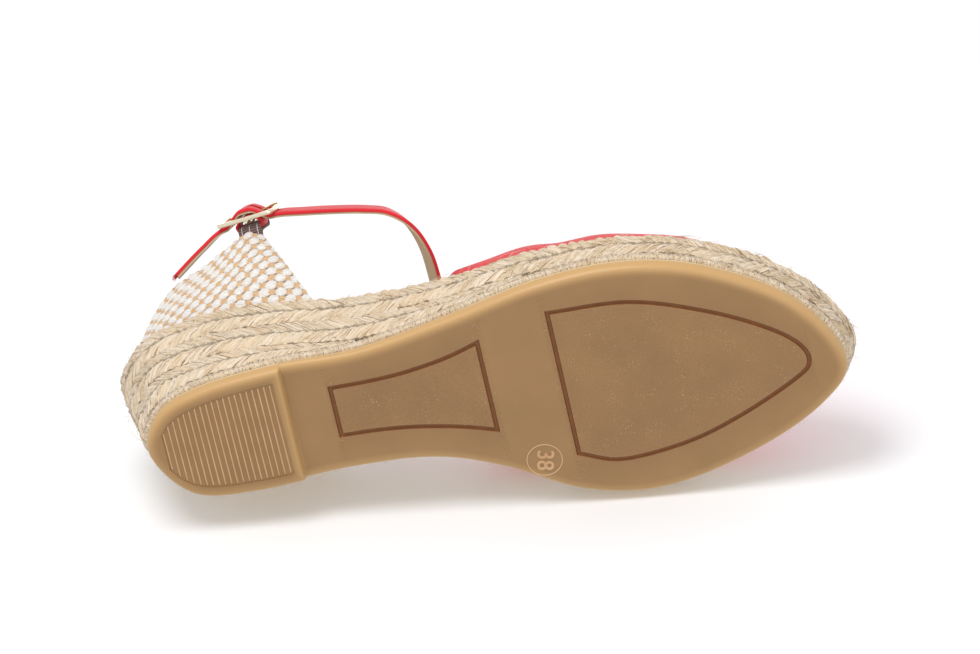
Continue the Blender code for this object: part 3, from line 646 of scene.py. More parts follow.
def hidden_layer(name, dark, pale):
    """Pressed layer inside the sole or upper: fine mottled fibre or foam, seen only at its edges."""
    mat, tree, shader = start_material(name, 0.85)
    place = add(tree, "ShaderNodeTexCoord").outputs["Object"]
    mottle = add(tree, "ShaderNodeTexNoise", {"Scale": 400.0, "Detail": 4.0}, {"Vector": place}).outputs[0]
    tree.links.new(mixed(tree, mottle, linear(dark), linear(pale)), shader.inputs["Base Color"])
    bump(tree, shader, mottle, 0.1)
    return mat


# --- outsole ------------------------------------------------------------------------------------
def sole_stations():
    """X of the outsole's sections: close at heel, toe and the heel block's step."""
    x = 247.0 * (1 - np.cos(np.linspace(0, math.pi, 111))) / 2
    extra = HEEL_BREAST + np.array([-2.2, -1.4, -0.7, -0.45, -0.2, 0, 0.2, 0.45, 0.7, 1.4, 2.2])
    x = x[np.abs(x - HEEL_BREAST) > 2.6]
    return np.sort(np.concatenate([x, extra]))


def outsole_index(x, inner):
    """Index along SOLE_EDGE of the point at X."""
    u = np.linspace(0, TOE, 800)
    u = TURN - u if inner else u
    edge = spline(SOLE_EDGE, u, True)[:, 0]
    return np.interp(x, np.maximum.accumulate(edge), u)


def outsole_body():
    """Slab with a full rounded edge that follows the waist's rise, and a thin lip under the jute."""
    x = sole_stations()
    outer, inner = outsole_index(x, False), outsole_index(x, True)
    outer[0], outer[-1] = 0, TOE
    u = np.concatenate([outer, inner[-2:0:-1]])
    radius = SOLE_EDGE_RADIUS
    turns = np.linspace(0, math.pi / 2, 8)
    rings = [(radius + 1.2, 0)] + [(radius * (1 - math.sin(a)), radius * (1 - math.cos(a))) for a in turns]
    rings += [(0.0, 4.5), (0.05, 5.1), (0.45, 5.25), (0.45, RUBBER_TOP)]
    points = []
    for inset, z in rings:
        p, _ = wall(u, 0.0, inset)
        # The waist's rise fades out upwards, so that the lip stays level.
        p[:, 2] = z + ground(p[:, 0]) * (0.0 if z >= 4.4 else 1 - z / 6.0)
        points.append(p)
    n = len(u)
    faces = grid_faces(len(rings), n, wrap_columns=True).tolist()
    for row in (0, len(rings) - 1):
        k = row * n
        faces.append((k, k + 1, k + n - 1))
        faces += [(k + i, k + i + 1, k + n - i - 1, k + n - i) for i in range(1, n // 2 - 1)]
        faces.append((k + n // 2 - 1, k + n // 2, k + n // 2 + 1))
    return mesh_from("gum_outsole", np.concatenate(points), faces)


def mitred(points, offset):
    """Closed outline moved inwards by a distance, corners kept sharp."""
    p = np.asarray(points, float)
    ahead, behind = np.roll(p, -1, 0) - p, p - np.roll(p, 1, 0)
    n1 = np.stack([-behind[:, 1], behind[:, 0]], 1) / np.linalg.norm(behind, axis=1)[:, None]
    n2 = np.stack([-ahead[:, 1], ahead[:, 0]], 1) / np.linalg.norm(ahead, axis=1)[:, None]
    m = n1 + n2
    return p + m * offset * 2 / np.maximum((m * m).sum(1), 0.8)[:, None]


def groove_cutter(outline, width, depth):
    """Ring-shaped cutter with sloping sides along an outline on the underside."""
    rims = [(-0.15, -1.0), (0.0, 0.0), (GROOVE_FLANK, depth), (width - GROOVE_FLANK, depth), (width, 0.0),
            (width + 0.15, -1.0)]
    points = []
    for inset, z in rims:
        p = mitred(outline, inset)
        points.append(np.column_stack([p, np.full(len(p), z) + ground(p[:, 0])]))
    faces = grid_faces(len(rims), len(outline), wrap_rows=True, wrap_columns=True)
    return np.concatenate(points), faces


def panel_outlines():
    """Closed outlines of the forepart and waist panels, counter-clockwise seen from above."""
    count = len(FOREPART_PANEL) - 1
    rear = [(PANEL_REAR, PANEL_HALF_WIDTH - i * 2 * PANEL_HALF_WIDTH / 12) for i in range(1, 12)]
    forepart = np.concatenate([spline(FOREPART_PANEL, np.linspace(0, count, 70)), rear])
    low, high = (spline(side, np.linspace(0, len(side) - 1, 16)) for side in WAIST_SIDES)
    ends = [(WAIST_FRONT, y) for y in (-10, 2)], [(WAIST_BACK, y) for y in (0.5, -7)]
    waist = np.concatenate([low, ends[0], high, ends[1]])
    return forepart, waist


def inside(outline, x, y):
    """Whether points lie inside a closed outline."""
    hit = np.zeros(len(x), bool)
    for (x1, y1), (x2, y2) in zip(outline, np.roll(outline, -1, 0)):
        cross = (y1 > y) != (y2 > y)
        with np.errstate(divide="ignore", invalid="ignore"):
            hit ^= cross & (x < (x2 - x1) * (y - y1) / (y2 - y1) + x1)
    return hit


def rib_field(inset):
    """Outline of the ribbed field on the heel block."""
    x = np.linspace(inset + 1.5, HEEL_BREAST - 3.2, 22)
    low, _ = wall(outsole_index(x, False), 0.0, 0)
    high, _ = wall(outsole_index(x, True), 0.0, 0)
    squeeze = inset + 2.0 * np.exp(-(x - x[0]) / 3)
    inwards = np.column_stack([x * 0, squeeze])
    return np.concatenate([low[:, :2] + inwards, (high[:, :2] - inwards)[::-1]])


def rib_mesh_parts(pitch):
    """Thin rounded ribs across the heel block."""
    field = rib_field(RIB_FIELD_INSET)
    half = len(field) // 2
    low, high = field[:half], field[half:][::-1]
    points, faces = [], []
    x = low[0, 0] + 0.8
    profile = [(-0.30, 0.55), (-0.24, 0.18), (-0.10, 0.04), (0.10, 0.04), (0.24, 0.18), (0.30, 0.55)]
    while x < low[-1, 0] - 0.6:
        a, b = np.interp(x, low[:, 0], low[:, 1]) + 0.5, np.interp(x, high[:, 0], high[:, 1]) - 0.5
        start = len(points)
        ys = [a, a + 0.5] + list(np.linspace(a + 1.5, b - 1.5, 5)) + [b - 0.5, b]
        for k, y in enumerate(ys):
            drop = 0.35 if k in (0, len(ys) - 1) else 0.0
            points += [(x + dx, y, min(z + drop, 0.55)) for dx, z in profile]
        strip = grid_faces(len(ys), len(profile), wrap_columns=True) + start
        faces += strip.tolist() + [list(range(start, start + 6)), list(range(len(points) - 6, len(points)))]
        x += pitch
    return points, faces


def numeral_mesh(text, size, at):
    """Raised size numeral under the sole, built from the plain built-in typeface."""
    curve = bpy.data.curves.new("numeral", "FONT")
    curve.body = text
    curve.size = size * MM
    curve.align_x, curve.align_y = "CENTER", "CENTER"
    curve.extrude = 0.20 * MM
    curve.bevel_depth = 0.06 * MM
    curve.offset = 0.06 * MM
    ob = bpy.data.objects.new("numeral", curve)
    bpy.context.scene.collection.objects.link(ob)
    x, y, z = (np.array(at) - ORIGIN) * MM
    face_down = Matrix.Rotation(math.pi, 4, "X")
    turn = Matrix.Rotation(NUMERAL_TURN, 4, "Z")
    ob.matrix_world = Matrix.Translation((x, y, z)) @ face_down @ turn
    bpy.context.view_layer.update()
    mesh = bpy.data.meshes.new_from_object(ob.evaluated_get(bpy.context.evaluated_depsgraph_get()))
    mesh.transform(ob.matrix_world)
    bpy.data.objects.remove(ob)
    return mesh


def size_ring():
    """Thin raised ring round the size numeral."""
    x, y, radius = SIZE_RING
    rows = []
    for a in np.linspace(0, 2 * math.pi, 64, endpoint=False):
        rows.append([(x + (radius + r) * math.cos(a), y + (radius + r) * math.sin(a), z)
                     for r, z in ((-0.3, 0.3), (-0.16, -0.14), (0.16, -0.14), (0.3, 0.3))])
    return mesh_from("gum_size_ring", rows, grid_faces(64, 4, wrap_rows=True, wrap_columns=True))


class SANDAL_OT_outsole(bpy.types.Operator):
    """Moulded gum rubber outsole with its panels, ribs and size numeral"""

    bl_idname = "sandal.outsole"
    bl_label = "Outsole"

    def execute(self, context):
        sizes, colours = context.scene.sandal_sizes, context.scene.sandal_colours
        materials = [gum_rubber(colours, "plain"), shaded_groove_rubber(colours), gum_rubber(colours, "panel")]
        ob = piece(outsole_body(), "shoe", materials, ["rubber_outsole"], smooth=False)

        forepart, waist = panel_outlines()
        for k, outline in enumerate((forepart, waist)):
            mesh = mesh_from(f"groove_{k}", *groove_cutter(outline, GROOVE_WIDTH, GROOVE_DEPTH))
            for material in materials[:2]:
                mesh.materials.append(material)
            mesh.polygons.foreach_set("material_index", [1] * len(mesh.polygons))
            cut(ob, mesh)
        field = rib_field(RIB_FIELD_INSET)
        points = [np.column_stack([field, np.full(len(field), z)]) for z in (-1.0, RIB_RECESS)]
        n = len(field)
        faces = grid_faces(2, n, wrap_columns=True).tolist() + [list(range(n)), list(range(n, 2 * n))]
        cut(ob, mesh_from("rib_recess", np.concatenate(points), faces))
        self.finish_surface(ob.data, forepart, waist)

        points, faces = rib_mesh_parts(sizes.rib_pitch / MM)
        pale = self.rib_rubber()
        ribs = piece(mesh_from("gum_heel_ribs", points, faces), "shoe", [pale])
        ribs.data.set_sharp_from_angle(angle=math.radians(60))
        piece(size_ring(), "shoe", [pale])
        numeral = numeral_mesh("38", NUMERAL_SIZE, (SIZE_RING[0], SIZE_RING[1], 0.02))
        numeral = piece(numeral, "shoe", [pale], smooth=False)
        numeral.name = numeral.data.name = "gum_size_numeral"
        return {"FINISHED"}

    def finish_surface(self, mesh, forepart, waist):
        """Mark the panels' faces and how near each point is to the outsole's edge."""
        points = np.array([v.co for v in mesh.vertices]) / MM + ORIGIN
        rim, _ = wall(np.linspace(0, TURN, 900, endpoint=False), 0.0)
        near = np.array([np.min(np.hypot(rim[:, 0] - x, rim[:, 1] - y)) for x, y, _ in points])
        # The edge value rises towards the outsole's edge and along the heel block's step, where it brings in
        # the painted glow and highlight.
        step = np.where(points[:, 0] < HEEL_BREAST + 0.5, np.abs(points[:, 0] - HEEL_BREAST + 0.9) + 1.0, 9)
        vertex_floats(mesh, edge=np.clip(1 - (np.minimum(near, step) - 0.5) / 4.6, 0, 1) ** 1.5,
                      # rim marks the lip under the welt, which gets a painted highlight.
                      rim=(points[:, 2] - 0.3 * ground(points[:, 0]) > 5.0).astype(float))
        for polygon in mesh.polygons:
            c = np.array(polygon.center) / MM + ORIGIN
            if polygon.material_index == 0 and polygon.normal.z < -0.9 and abs(c[2] - ground(c[0])) < 0.25:
                x, y = np.array([c[0]]), np.array([c[1]])
                if inside(forepart, x, y)[0] or inside(waist, x, y)[0]:
                    polygon.material_index = 2
        mesh.shade_smooth()
        mesh.set_sharp_from_angle(angle=math.radians(32))

    def rib_rubber(self):
        """Moulded gum rubber of the thin ribs: painted pale, as polished by walking and as a highlight where
        they catch the light.
        """
        mat, tree, shader = start_material("gum_rubber_rib_highlight", 0.35)
        place = add(tree, "ShaderNodeTexCoord").outputs["Object"]
        wear = add(tree, "ShaderNodeTexNoise", {"Scale": 150.0, "Detail": 3.0}, {"Vector": place}).outputs[0]
        tone = mixed(tree, wear, linear("#B98A5C"), linear("#DDB78C"))
        tree.links.new(tone, shader.inputs["Base Color"])
        return mat


# --- braided jute -------------------------------------------------------------------------------
def top_row_middle(x):
    """Height of the middle of the uppermost jute row at X."""
    return bed_height(x) - ROW_HEIGHT / 2


def row_limits(index):
    """Lower and upper height of a jute row as functions of X."""
    def top(x):
        return np.maximum(bed_height(x) - index * (ROW_HEIGHT + GAP), CORD_TOP + 0.6)

    def bottom(x):
        return np.maximum(bed_height(x) - index * (ROW_HEIGHT + GAP) - ROW_HEIGHT - 0.2, CORD_TOP - 0.2)
    return bottom, top


def braid_height(s, y, half, pitch, seed):
    """Relief from 0 to 1 of a flat plait: strands slope to the middle from both edges. Also the painted shade
    between strands and a tint per strand.
    """
    warp = value_noise(s / 17, y / 8, seed) * 1.8 + value_noise(s / 5, y / 3.5, seed + 1) * 0.9
    side = np.where(y > 0, 0.5, 0.0)
    phase = (s + warp + 1.15 * np.abs(y)) / pitch + side
    index = np.floor(phase)
    f = phase - index
    round_ = np.sqrt(np.clip(1 - (2 * f - 1) ** 2, 0, 1))
    dive = 1 - 0.42 * np.exp(-(y / 1.1) ** 2)
    strand = index * 2 + side * 2
    lift = 0.55 + 0.7 * cell_random(strand, seed) + 0.25 * value_noise(s / 3.1, y / 2.6, seed + 21)
    edge = np.clip((half - np.abs(y)) / 1.2, 0, 1)
    relief = round_ * dive * lift
    # Painted shade: darker in the valleys between strands, towards the row's edges and along its middle.
    valley = np.clip((1 - round_) * 1.15, 0, 1) ** 2 * 0.9
    gap = valley + (1 - edge) * 0.25 + 0.35 * np.exp(-(y / 0.7) ** 2) * (1 - f)
    return relief, np.clip(gap, 0, 1), cell_random(strand, seed + 5)


def braid_row(name, index, u, s, closed, sizes, seed):
    """One braided row as a dense band with its strands in relief."""
    bottom, top = row_limits(index)
    angles = np.linspace(-math.pi / 2, math.pi / 2, 27)
    pitch, relief_mm = sizes.strand_pitch / MM, sizes.strand_relief / MM
    columns, gaps, tints, uvs = [], [], [], []
    base, _ = wall(u, lambda x: (bottom(x) + top(x)) / 2)
    half = (top(base[:, 0]) - bottom(base[:, 0])) / 2
    ragged = value_noise(s / 2.3, s * 0 + 3.5, seed + 9) * 0.6
    ragged = ragged + value_noise(s / 9, s * 0 + 7.5, seed + 3) * 0.5
    for angle in angles:
        w = math.sin(angle)
        p, out = wall(u, lambda x: bottom(x) + (top(x) - bottom(x)) * (w + 1) / 2)
        y = w * half
        h, gap, tint = braid_height(s, y, half, pitch, seed)
        rough = value_noise(s / 0.9, y / 0.7, seed + 11) * 0.14
        fat = np.clip(half / 6, 0.25, 1)
        bulge = 0.35 * math.cos(angle) - 0.4
        p = p + out * ((bulge + h * relief_mm * (0.6 + 0.4 * math.cos(angle)) + rough) * fat)[:, None]
        p[:, 2] += ragged * abs(w) ** 6 * np.sign(w) * fat
        columns.append(p)
        gaps.append(gap)
        tints.append(tint)
        slope = math.atan(1 / 1.15) * (1 if w > 0 else -1)
        uvs.append(np.column_stack([s * -math.cos(slope) + y * math.sin(slope) * (-1 if w > 0 else -1),
                                    s * math.sin(slope) + y * math.cos(slope)]))
    # The row's hidden back edges take full painted shade.
    for limit in (top, bottom):
        p, out = wall(u, limit, ROW_THICKNESS)
        columns.append(p)
        gaps.append(np.ones(len(u)))
        tints.append(np.zeros(len(u)))
        uvs.append(uvs[-1])
    grid = np.stack(columns, 1)
    n, m = len(u), len(columns)
    faces = grid_faces(n, m, wrap_rows=closed, wrap_columns=True).tolist()
    if not closed:
        faces += [list(range(m)), list(range((n - 1) * m, n * m))]
    mesh = mesh_from(name, grid, faces)
    vertex_floats(mesh, gap=np.stack(gaps, 1), tint=np.stack(tints, 1))
    face_uv(mesh, "fibre", np.stack(uvs, 1).reshape(-1, 2))
    return mesh


def welt_cord(u, s):
    """Tightly twisted welt of short slanted strands between rubber and braid."""
    columns, gaps, tints, uvs = [], [], [], []
    base, out = wall(u, RUBBER_TOP + 0.1 + 1.6, 0.9)
    for angle in np.linspace(0, 2 * math.pi, 14, endpoint=False):
        warp = value_noise(s / 6, s * 0 + 1.5, 40) * 0.8
        phase = (s + warp) / 1.9 + angle / (2 * math.pi) * 1.0
        f = phase - np.floor(phase)
        round_ = np.sqrt(np.clip(1 - (2 * f - 1) ** 2, 0, 1))
        radius = 1.35 + 0.45 * round_ + 0.12 * value_noise(s / 0.8, s * 0 + angle * 3, 41)
        p = base + out * (np.cos(angle) * radius)[:, None]
        p[:, 2] += math.sin(angle) * (radius - 0.1)
        columns.append(p)
        # Painted shade in the hollows between the cord's twisted strands.
        gaps.append(np.clip(1.1 - round_ * 1.25, 0, 1))
        tints.append(cell_random(np.floor(phase), 44))
        uvs.append(np.column_stack([s * 0.5 + angle * 1.5, s * 1.3]))
    n, m = len(u), len(columns)
    mesh = mesh_from("jute_welt", np.stack(columns, 1), grid_faces(n, m, wrap_rows=True, wrap_columns=True))
    vertex_floats(mesh, gap=np.stack(gaps, 1), tint=np.stack(tints, 1))
    face_uv(mesh, "fibre", np.stack(uvs, 1).reshape(-1, 2))
    return mesh


def stray_fibres(count, seed):
    """Loose fibres that lie over the braid and stick out here and there."""
    rng = random.Random(seed)
    points, faces = [], []
    for _ in range(count):
        u0 = rng.uniform(0, TURN)
        base, out = wall([u0], 0.0)
        x0 = base[0, 0]
        z0 = rng.uniform(RUBBER_TOP + 0.5, float(bed_height(x0)))
        length = rng.uniform(2.5, 9)
        slant = rng.choice((-1, 1)) * rng.uniform(0.2, 1.2)
        rise = rng.uniform(0.1, 0.7) if rng.random() < 0.86 else rng.uniform(1.2, 3.2)
        curl = rng.uniform(-0.9, 0.9)
        radius = rng.uniform(0.05, 0.085)
        start, steps = len(points), 6
        for k in range(steps):
            t = k / (steps - 1)
            du = length * t * math.cos(slant + curl * t) / MM_PER_INDEX
            z = z0 + length * t * math.sin(slant + curl * t)
            z = min(max(z, RUBBER_TOP), float(bed_height(x0)) + 0.8)
            p, n = wall([u0 + du], z)
            thin = radius * (1 - 0.6 * t)
            # A fibre that lies flat comes back down to the braid, and one that rises ends at its highest.
            arc = math.pi * min(t * 1.15, 1) * (0.5 if rise > 1 else 1)
            centre = p[0] + n[0] * (0.75 + rise * math.sin(arc))
            points += [centre + (0, 0, thin), centre + n[0] * thin * 0.9 - (0, 0, thin * 0.5),
                       centre - n[0] * thin * 0.9 - (0, 0, thin * 0.5)]
        faces += (grid_faces(steps, 3, wrap_columns=True) + start).tolist()
        faces += [(start, start + 1, start + 2), (len(points) - 3, len(points) - 2, len(points) - 1)]
    return mesh_from("jute_stray_fibres", points, faces)


class SANDAL_OT_jute(bpy.types.Operator):
    """Braided jute rows, welt cord and stray fibres"""

    bl_idname = "sandal.jute"
    bl_label = "Jute wedge"

    def execute(self, context):
        sizes, colours = context.scene.sandal_sizes, context.scene.sandal_colours
        braid = jute_fibre("braided_jute", colours)
        cord = jute_fibre("twisted_jute_welt", colours, (0.5, 4.0))
        u, s = even_stations(0, TURN, BRAID_STEP, top_row_middle)
        mesh = braid_row("jute_braid_top", 0, u[:-1], s[:-1], True, sizes, 3)
        piece(mesh, "shoe", [braid], ["jute_row_top"])
        for name, node, index, x_end in (("jute_braid_middle", "jute_row_middle", 1, 141),
                                         ("jute_braid_bottom", "jute_row_bottom", 2, 76)):
            ends = [float(side_index(x_end, inner)) for inner in (True, False)]
            u, s = even_stations(ends[0] - TURN, ends[1], BRAID_STEP, top_row_middle)
            mesh = braid_row(name, index, u, s, False, sizes, 20 * index)
            piece(mesh, "shoe", [braid], [node])
        u, s = even_stations(0, TURN, WELT_STEP, RUBBER_TOP)
        piece(welt_cord(u[:-1], s[:-1]), "shoe", [cord], ["jute_welt_cord"])
        if sizes.fibres:
            piece(stray_fibres(sizes.fibres, 7), "shoe", [stray_fibre("jute_stray_fibre")])
        return {"FINISHED"}


# --- uppers -------------------------------------------------------------------------------------
def foot_height(x):
    return bed_height(x) - FOOTBED_DEPTH + GAP


def counter_surface(columns, rows, top=1.0, low=0.0):
    """Counter's outer surface from the outer side round the heel to the inner side, foot to rim."""
    count = len(COUNTER_RIBS) - 1
    ribs = spline(COUNTER_RIBS, np.linspace(0, count, columns))
    sides = []
    for inner in (False, True):
        u = side_index(ribs[:, 0], inner)
        u[-1] = TURN if inner else 0
        foot, out = wall(u, foot_height, UPPER_INSET)
        rim = ribs[:, 1:4] * (1, 1 if inner else -1, 1)
        swell = COUNTER_BULGE * (0.35 + 0.65 * np.linspace(0, 1, columns) ** 1.5)
        side = []
        for v in np.linspace(low, top, rows):
            side.append(foot + (rim - foot) * v + out * (4 * v * (1 - v) * swell)[:, None])
        sides.append(np.stack(side))
    return np.concatenate([sides[0], sides[1][:, -2::-1]], 1)


def vamp_surface(columns, rows):
    """Vamp's outer surface, outer side over to the inner side."""
    ribs = spline(VAMP_RIBS, np.linspace(0, len(VAMP_RIBS) - 1, columns))
    sides = []
    for inner in (False, True):
        u = side_index(ribs[:, 0], inner)
        u[-1] = TOE
        foot, out = wall(u, foot_height, UPPER_INSET)
        crown = ribs[:, (1, 3 if inner else 2, 4)]
        swell = VAMP_BULGE * np.clip((crown[:, 2] - foot[:, 2] - 9) / 16, -0.3, 1)[:, None]
        side = []
        for angle in np.linspace(0, math.pi / 2, rows):
            across = 1 - max(math.cos(angle), 0) ** VAMP_SQUARENESS
            up = math.sin(angle) ** VAMP_SQUARENESS
            p = foot + (crown - foot) * (across, across, up)
            side.append(p + out * swell * math.sin(math.pi * up))
        sides.append(np.stack(side))
    return sides


def grid_normals(grid):
    """Outward unit normals of a grid of points."""
    a = np.gradient(grid, axis=1)
    b = np.gradient(grid, axis=0)
    n = np.cross(a, b)
    n /= np.maximum(np.linalg.norm(n, axis=2), 1e-9)[..., None]
    centre = grid.mean((0, 1))
    return n if (n * (grid - centre)).sum() > 0 else -n


def shell(name, outer, inner):
    """Closed sheet between two like grids."""
    rows, columns = outer.shape[:2]
    n = rows * columns
    front = grid_faces(rows, columns)
    faces = front.tolist() + (front[:, ::-1] + n).tolist()
    rim = ([(0, c) for c in range(columns)] + [(r, columns - 1) for r in range(1, rows)]
           + [(rows - 1, c) for c in range(columns - 2, -1, -1)] + [(r, 0) for r in range(rows - 2, 0, -1)])
    ids = [r * columns + c for r, c in rim]
    faces += [(a, b, b + n, a + n) for a, b in zip(ids, ids[1:] + ids[:1])]
    return mesh_from(name, np.concatenate([outer.reshape(-1, 3), inner.reshape(-1, 3)]), faces)


def cloth_uv(mesh, across, up):
    """UV map in millimetres over both faces of a shell, from the distances on its grid."""
    face_uv(mesh, "fibre", np.column_stack([np.tile(across.ravel(), 2), np.tile(up.ravel(), 2)]))


def distances(grid):
    """Distance along each row and up each column of a grid, from its middle column and its first row."""
    across = np.linalg.norm(np.diff(grid, axis=1), axis=2)
    across = np.concatenate([np.zeros((len(grid), 1)), np.cumsum(across, 1)], 1)
    across -= across[:, grid.shape[1] // 2][:, None]
    up = np.linalg.norm(np.diff(grid, axis=0), axis=2)
    up = np.concatenate([np.zeros((1, grid.shape[1])), np.cumsum(up, 0)], 0)
    return across, up


class SANDAL_OT_counter(bpy.types.Operator):
    """Basket-woven heel counter with its lining, stiffener and topline elastic"""

    bl_idname = "sandal.counter"
    bl_label = "Heel counter"

    def execute(self, context):
        sizes, colours = context.scene.sandal_sizes, context.scene.sandal_colours
        grid = counter_surface(231, 130)
        normal = grid_normals(grid)
        across, up = distances(grid)
        mean_up = up.mean(1, keepdims=True) * 0.6 + up * 0.4
        relief, gap, tan = self.basket(across, mean_up, sizes.weave_period / MM, sizes.weave_row / MM)
        outer = grid + normal * (relief - WEAVE_SINK)[..., None]
        rim = np.zeros(grid.shape[:2])
        rim[-1] = value_noise(across[-1] / 2.0, across[-1] * 0 + 2.5, 70) * 0.5
        outer[..., 2] += rim
        inner = grid - normal * FABRIC
        mesh = shell("woven_heel_counter", outer, inner)
        vertex_floats(mesh, gap=np.tile(gap.ravel(), 2), tint=np.tile(tan.ravel(), 2))
        cloth_uv(mesh, across, mean_up)
        ob = piece(mesh, "shoe", [counter_weave(colours)], ["heel_counter"])

        depth = FABRIC + 2 * GAP + STIFFENER
        coarse = counter_surface(61, 30, 0.995)
        n = grid_normals(coarse)
        lining = shell("counter_lining_leather", coarse - n * depth, coarse - n * (depth + LINING))
        ob = piece(lining, "shoe", [lining_leather("split_leather_lining", colours.beige)],
                   ["counter_lining"])
        felt = hidden_layer("pressed_felt_stiffener", "#B9B2A6", "#D8D2C6")
        set_material("counter_stiffener", felt)
        self.topline_elastic()
        return {"FINISHED"}

    def basket(self, across, up, period, row):
        """Domed floats, white ones large and tan ones small, offset half a period in every other row."""
        across = across + value_noise(across / 13, up / 11, 60) * 0.7
        up = up + value_noise(across / 12, up / 9, 61) * 0.5
        best = np.zeros(across.shape)
        tan = np.zeros(across.shape)
        j0 = np.floor(up / row)
        for dj in (-1, 0, 1, 2):
            j = j0 + dj
            shift = np.where(np.mod(j, 2) == 0, 0, period / 2)
            for kind, a, b, tall in ((0, 0.36 * period, 0.56 * row, 1.25),
                                     (1, 0.25 * period, 0.40 * row, 1.0)):
                off = shift + kind * period / 2
                i = np.round((across - off) / period)
                jitter = (cell_random(i * 7 + j * 3 + kind, 62) - 0.5) * 0.35
                du = (across - off - i * period + jitter) / a
                dv = (up - j * row + du * 0.55) / b
                dome = tall * np.sqrt(np.clip(1 - du ** 2 - dv ** 2, 0, 1))
                tan = np.where(dome > best, float(kind), tan)
                best = np.maximum(best, dome)
        # Painted shade where the floats sink between one another.
        gap = np.clip(1 - best / 0.55, 0, 1)
        return best, gap, tan

    def topline_elastic(self):
        """Brown elastic that stands a little proud between counter and lining behind each ear."""
        webbing = ribbed_webbing()
        grid = counter_surface(81, 60, 1.045, 0.72)
        n = grid_normals(grid)
        for name, node, part in (("webbing_topline_outer", "topline_elastic_outer", slice(16, 46)),
                                 ("webbing_topline_inner", "topline_elastic_inner", slice(115, 145))):
            a, b = (grid - n * (FABRIC + GAP * 0.6))[:, part], (grid - n * (FABRIC + STIFFENER))[:, part]
            across, up = distances(a)
            mesh = shell(name, a, b)
            cloth_uv(mesh, across, up)
            piece(mesh, "shoe", [webbing], [node])


def set_material(node, material):
    """Give a CAD node that stays a finished material."""
    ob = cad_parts[node]
    for slot in ob.material_slots:
        slot.material = material


class SANDAL_OT_vamp(bpy.types.Operator):
    """Red canvas vamp with its lining, binding and edge stitches"""

    bl_idname = "sandal.vamp"
    bl_label = "Vamp"

    def execute(self, context):
        colours = context.scene.sandal_colours
        red = canvas("dyed_cotton_canvas", colours.red)
        sides = vamp_surface(VAMP_COLUMNS, 33)
        grid = np.concatenate([sides[0], sides[1][::-1][1:]], 0)
        n = self.normals(grid)
        ripple = value_noise(grid[..., 0] / 14, grid[..., 1] / 9, 80) * 0.35
        outer = grid + n * ripple[..., None]
        # The canvas is thin at the topline, so that it doesn't fold through itself at the tight inner foot.
        columns, values = (0, THIN_UNTIL, THICK_FROM), (CANVAS_RIM, CANVAS_RIM, FABRIC)
        thickness = np.interp(np.arange(VAMP_COLUMNS), columns, values)[None, :, None]
        mesh = shell("canvas_vamp", outer, outer - n * thickness)
        across, up = distances(outer)
        cloth_uv(mesh, across, up)
        ob = piece(mesh, "shoe", [red], ["vamp"])
        depth = FABRIC + 2 * GAP
        # The lining stops short of the topline, where the canvas is turned in.
        part = (slice(2, -2), slice(LINING_START, None))
        inside_grid = (grid - n * depth)[part]
        mesh = shell("vamp_lining_leather", inside_grid, inside_grid - n[part] * LINING)
        ob = piece(mesh, "shoe", [lining_leather("split_leather_vamp_lining", colours.beige)],
                   ["vamp_lining"])
        self.edges(outer, n, red)
        return {"FINISHED"}

    def normals(self, grid):
        """Normals made even near the topline and at the toe, where the grid's columns crowd together."""
        n = grid_normals(grid)
        n[:, -1] = n[:, -2] = n[:, -3]
        n[:, :EVEN_NORMALS] = n[:, EVEN_NORMALS:EVEN_NORMALS + 1]
        return n

    def edges(self, outer, n, red):
        """Folded binding along the topline, and a row of jute stitches over the vamp's foot."""
        line = outer[:, 0] - n[:, 0] * (FABRIC + GAP + LINING) / 2
        tube(line, 1.35, "canvas_topline_binding", "shoe", [red], flat=1.15)
        points, faces = [], []
        foot = np.concatenate([outer[0, 6:-1], outer[-1, 6:-1][::-1]])
        top = np.concatenate([outer[4, 6:-1], outer[-5, 6:-1][::-1]])
        out = np.concatenate([n[3, 6:-1], n[-4, 6:-1][::-1]])
        run = np.concatenate([[0], np.cumsum(np.linalg.norm(np.diff(foot, axis=0), axis=1))])
        s = 1.0
        while s < run[-1] - 1:
            at = [np.array([np.interp(q, run, a[:, i]) for i in range(3)]) for a, q in
                  ((foot, s), (top, s + 1.4), (out, s))]
            z = float(bed_height(at[0][0]))
            base = np.array((*at[0][:2], z - 1.0))
            lift = min(3.6, at[1][2] - base[2])
            start = len(points)
            for k in range(5):
                t = k / 4
                c = base + (at[1] - at[0]) * np.array((t, t, 0)) * 0.5 + (0, 0, lift * t)
                c = c + at[2] * (0.45 + 0.35 * math.sin(math.pi * t))
                points += [c + (0.22, 0, 0), c + at[2] * 0.25, c - (0.22, 0, 0), c - at[2] * 0.2]
            faces += (grid_faces(5, 4, wrap_columns=True) + start).tolist()
            faces += [tuple(range(start + end, start + end + 4)) for end in (0, 16)]
            s += 3.6
        thread = stray_fibre("jute_stitching_thread")
        piece(mesh_from("jute_vamp_stitches", points, faces), "shoe", [thread])


def tube(line, radius, name, body, materials, flat=1.0, sides=10):
    """Tube along a line of design points, widened across its normal by flat."""
    line = np.asarray(line, float)
    step = np.gradient(line, axis=0)
    step /= np.linalg.norm(step, axis=1)[:, None]
    side = np.cross(step, (0.02, 0.01, 1.0))
    side /= np.linalg.norm(side, axis=1)[:, None]
    up = np.cross(side, step)
    columns = [line + side * radius * math.cos(a) + up * radius * flat * math.sin(a)
               for a in np.linspace(0, 2 * math.pi, sides, endpoint=False)]
    n = len(line)
    faces = grid_faces(n, sides, wrap_columns=True).tolist()
    faces += [list(range(sides)), list(range((n - 1) * sides, n * sides))]
    return piece(mesh_from(name, np.stack(columns, 1), faces), body, materials)


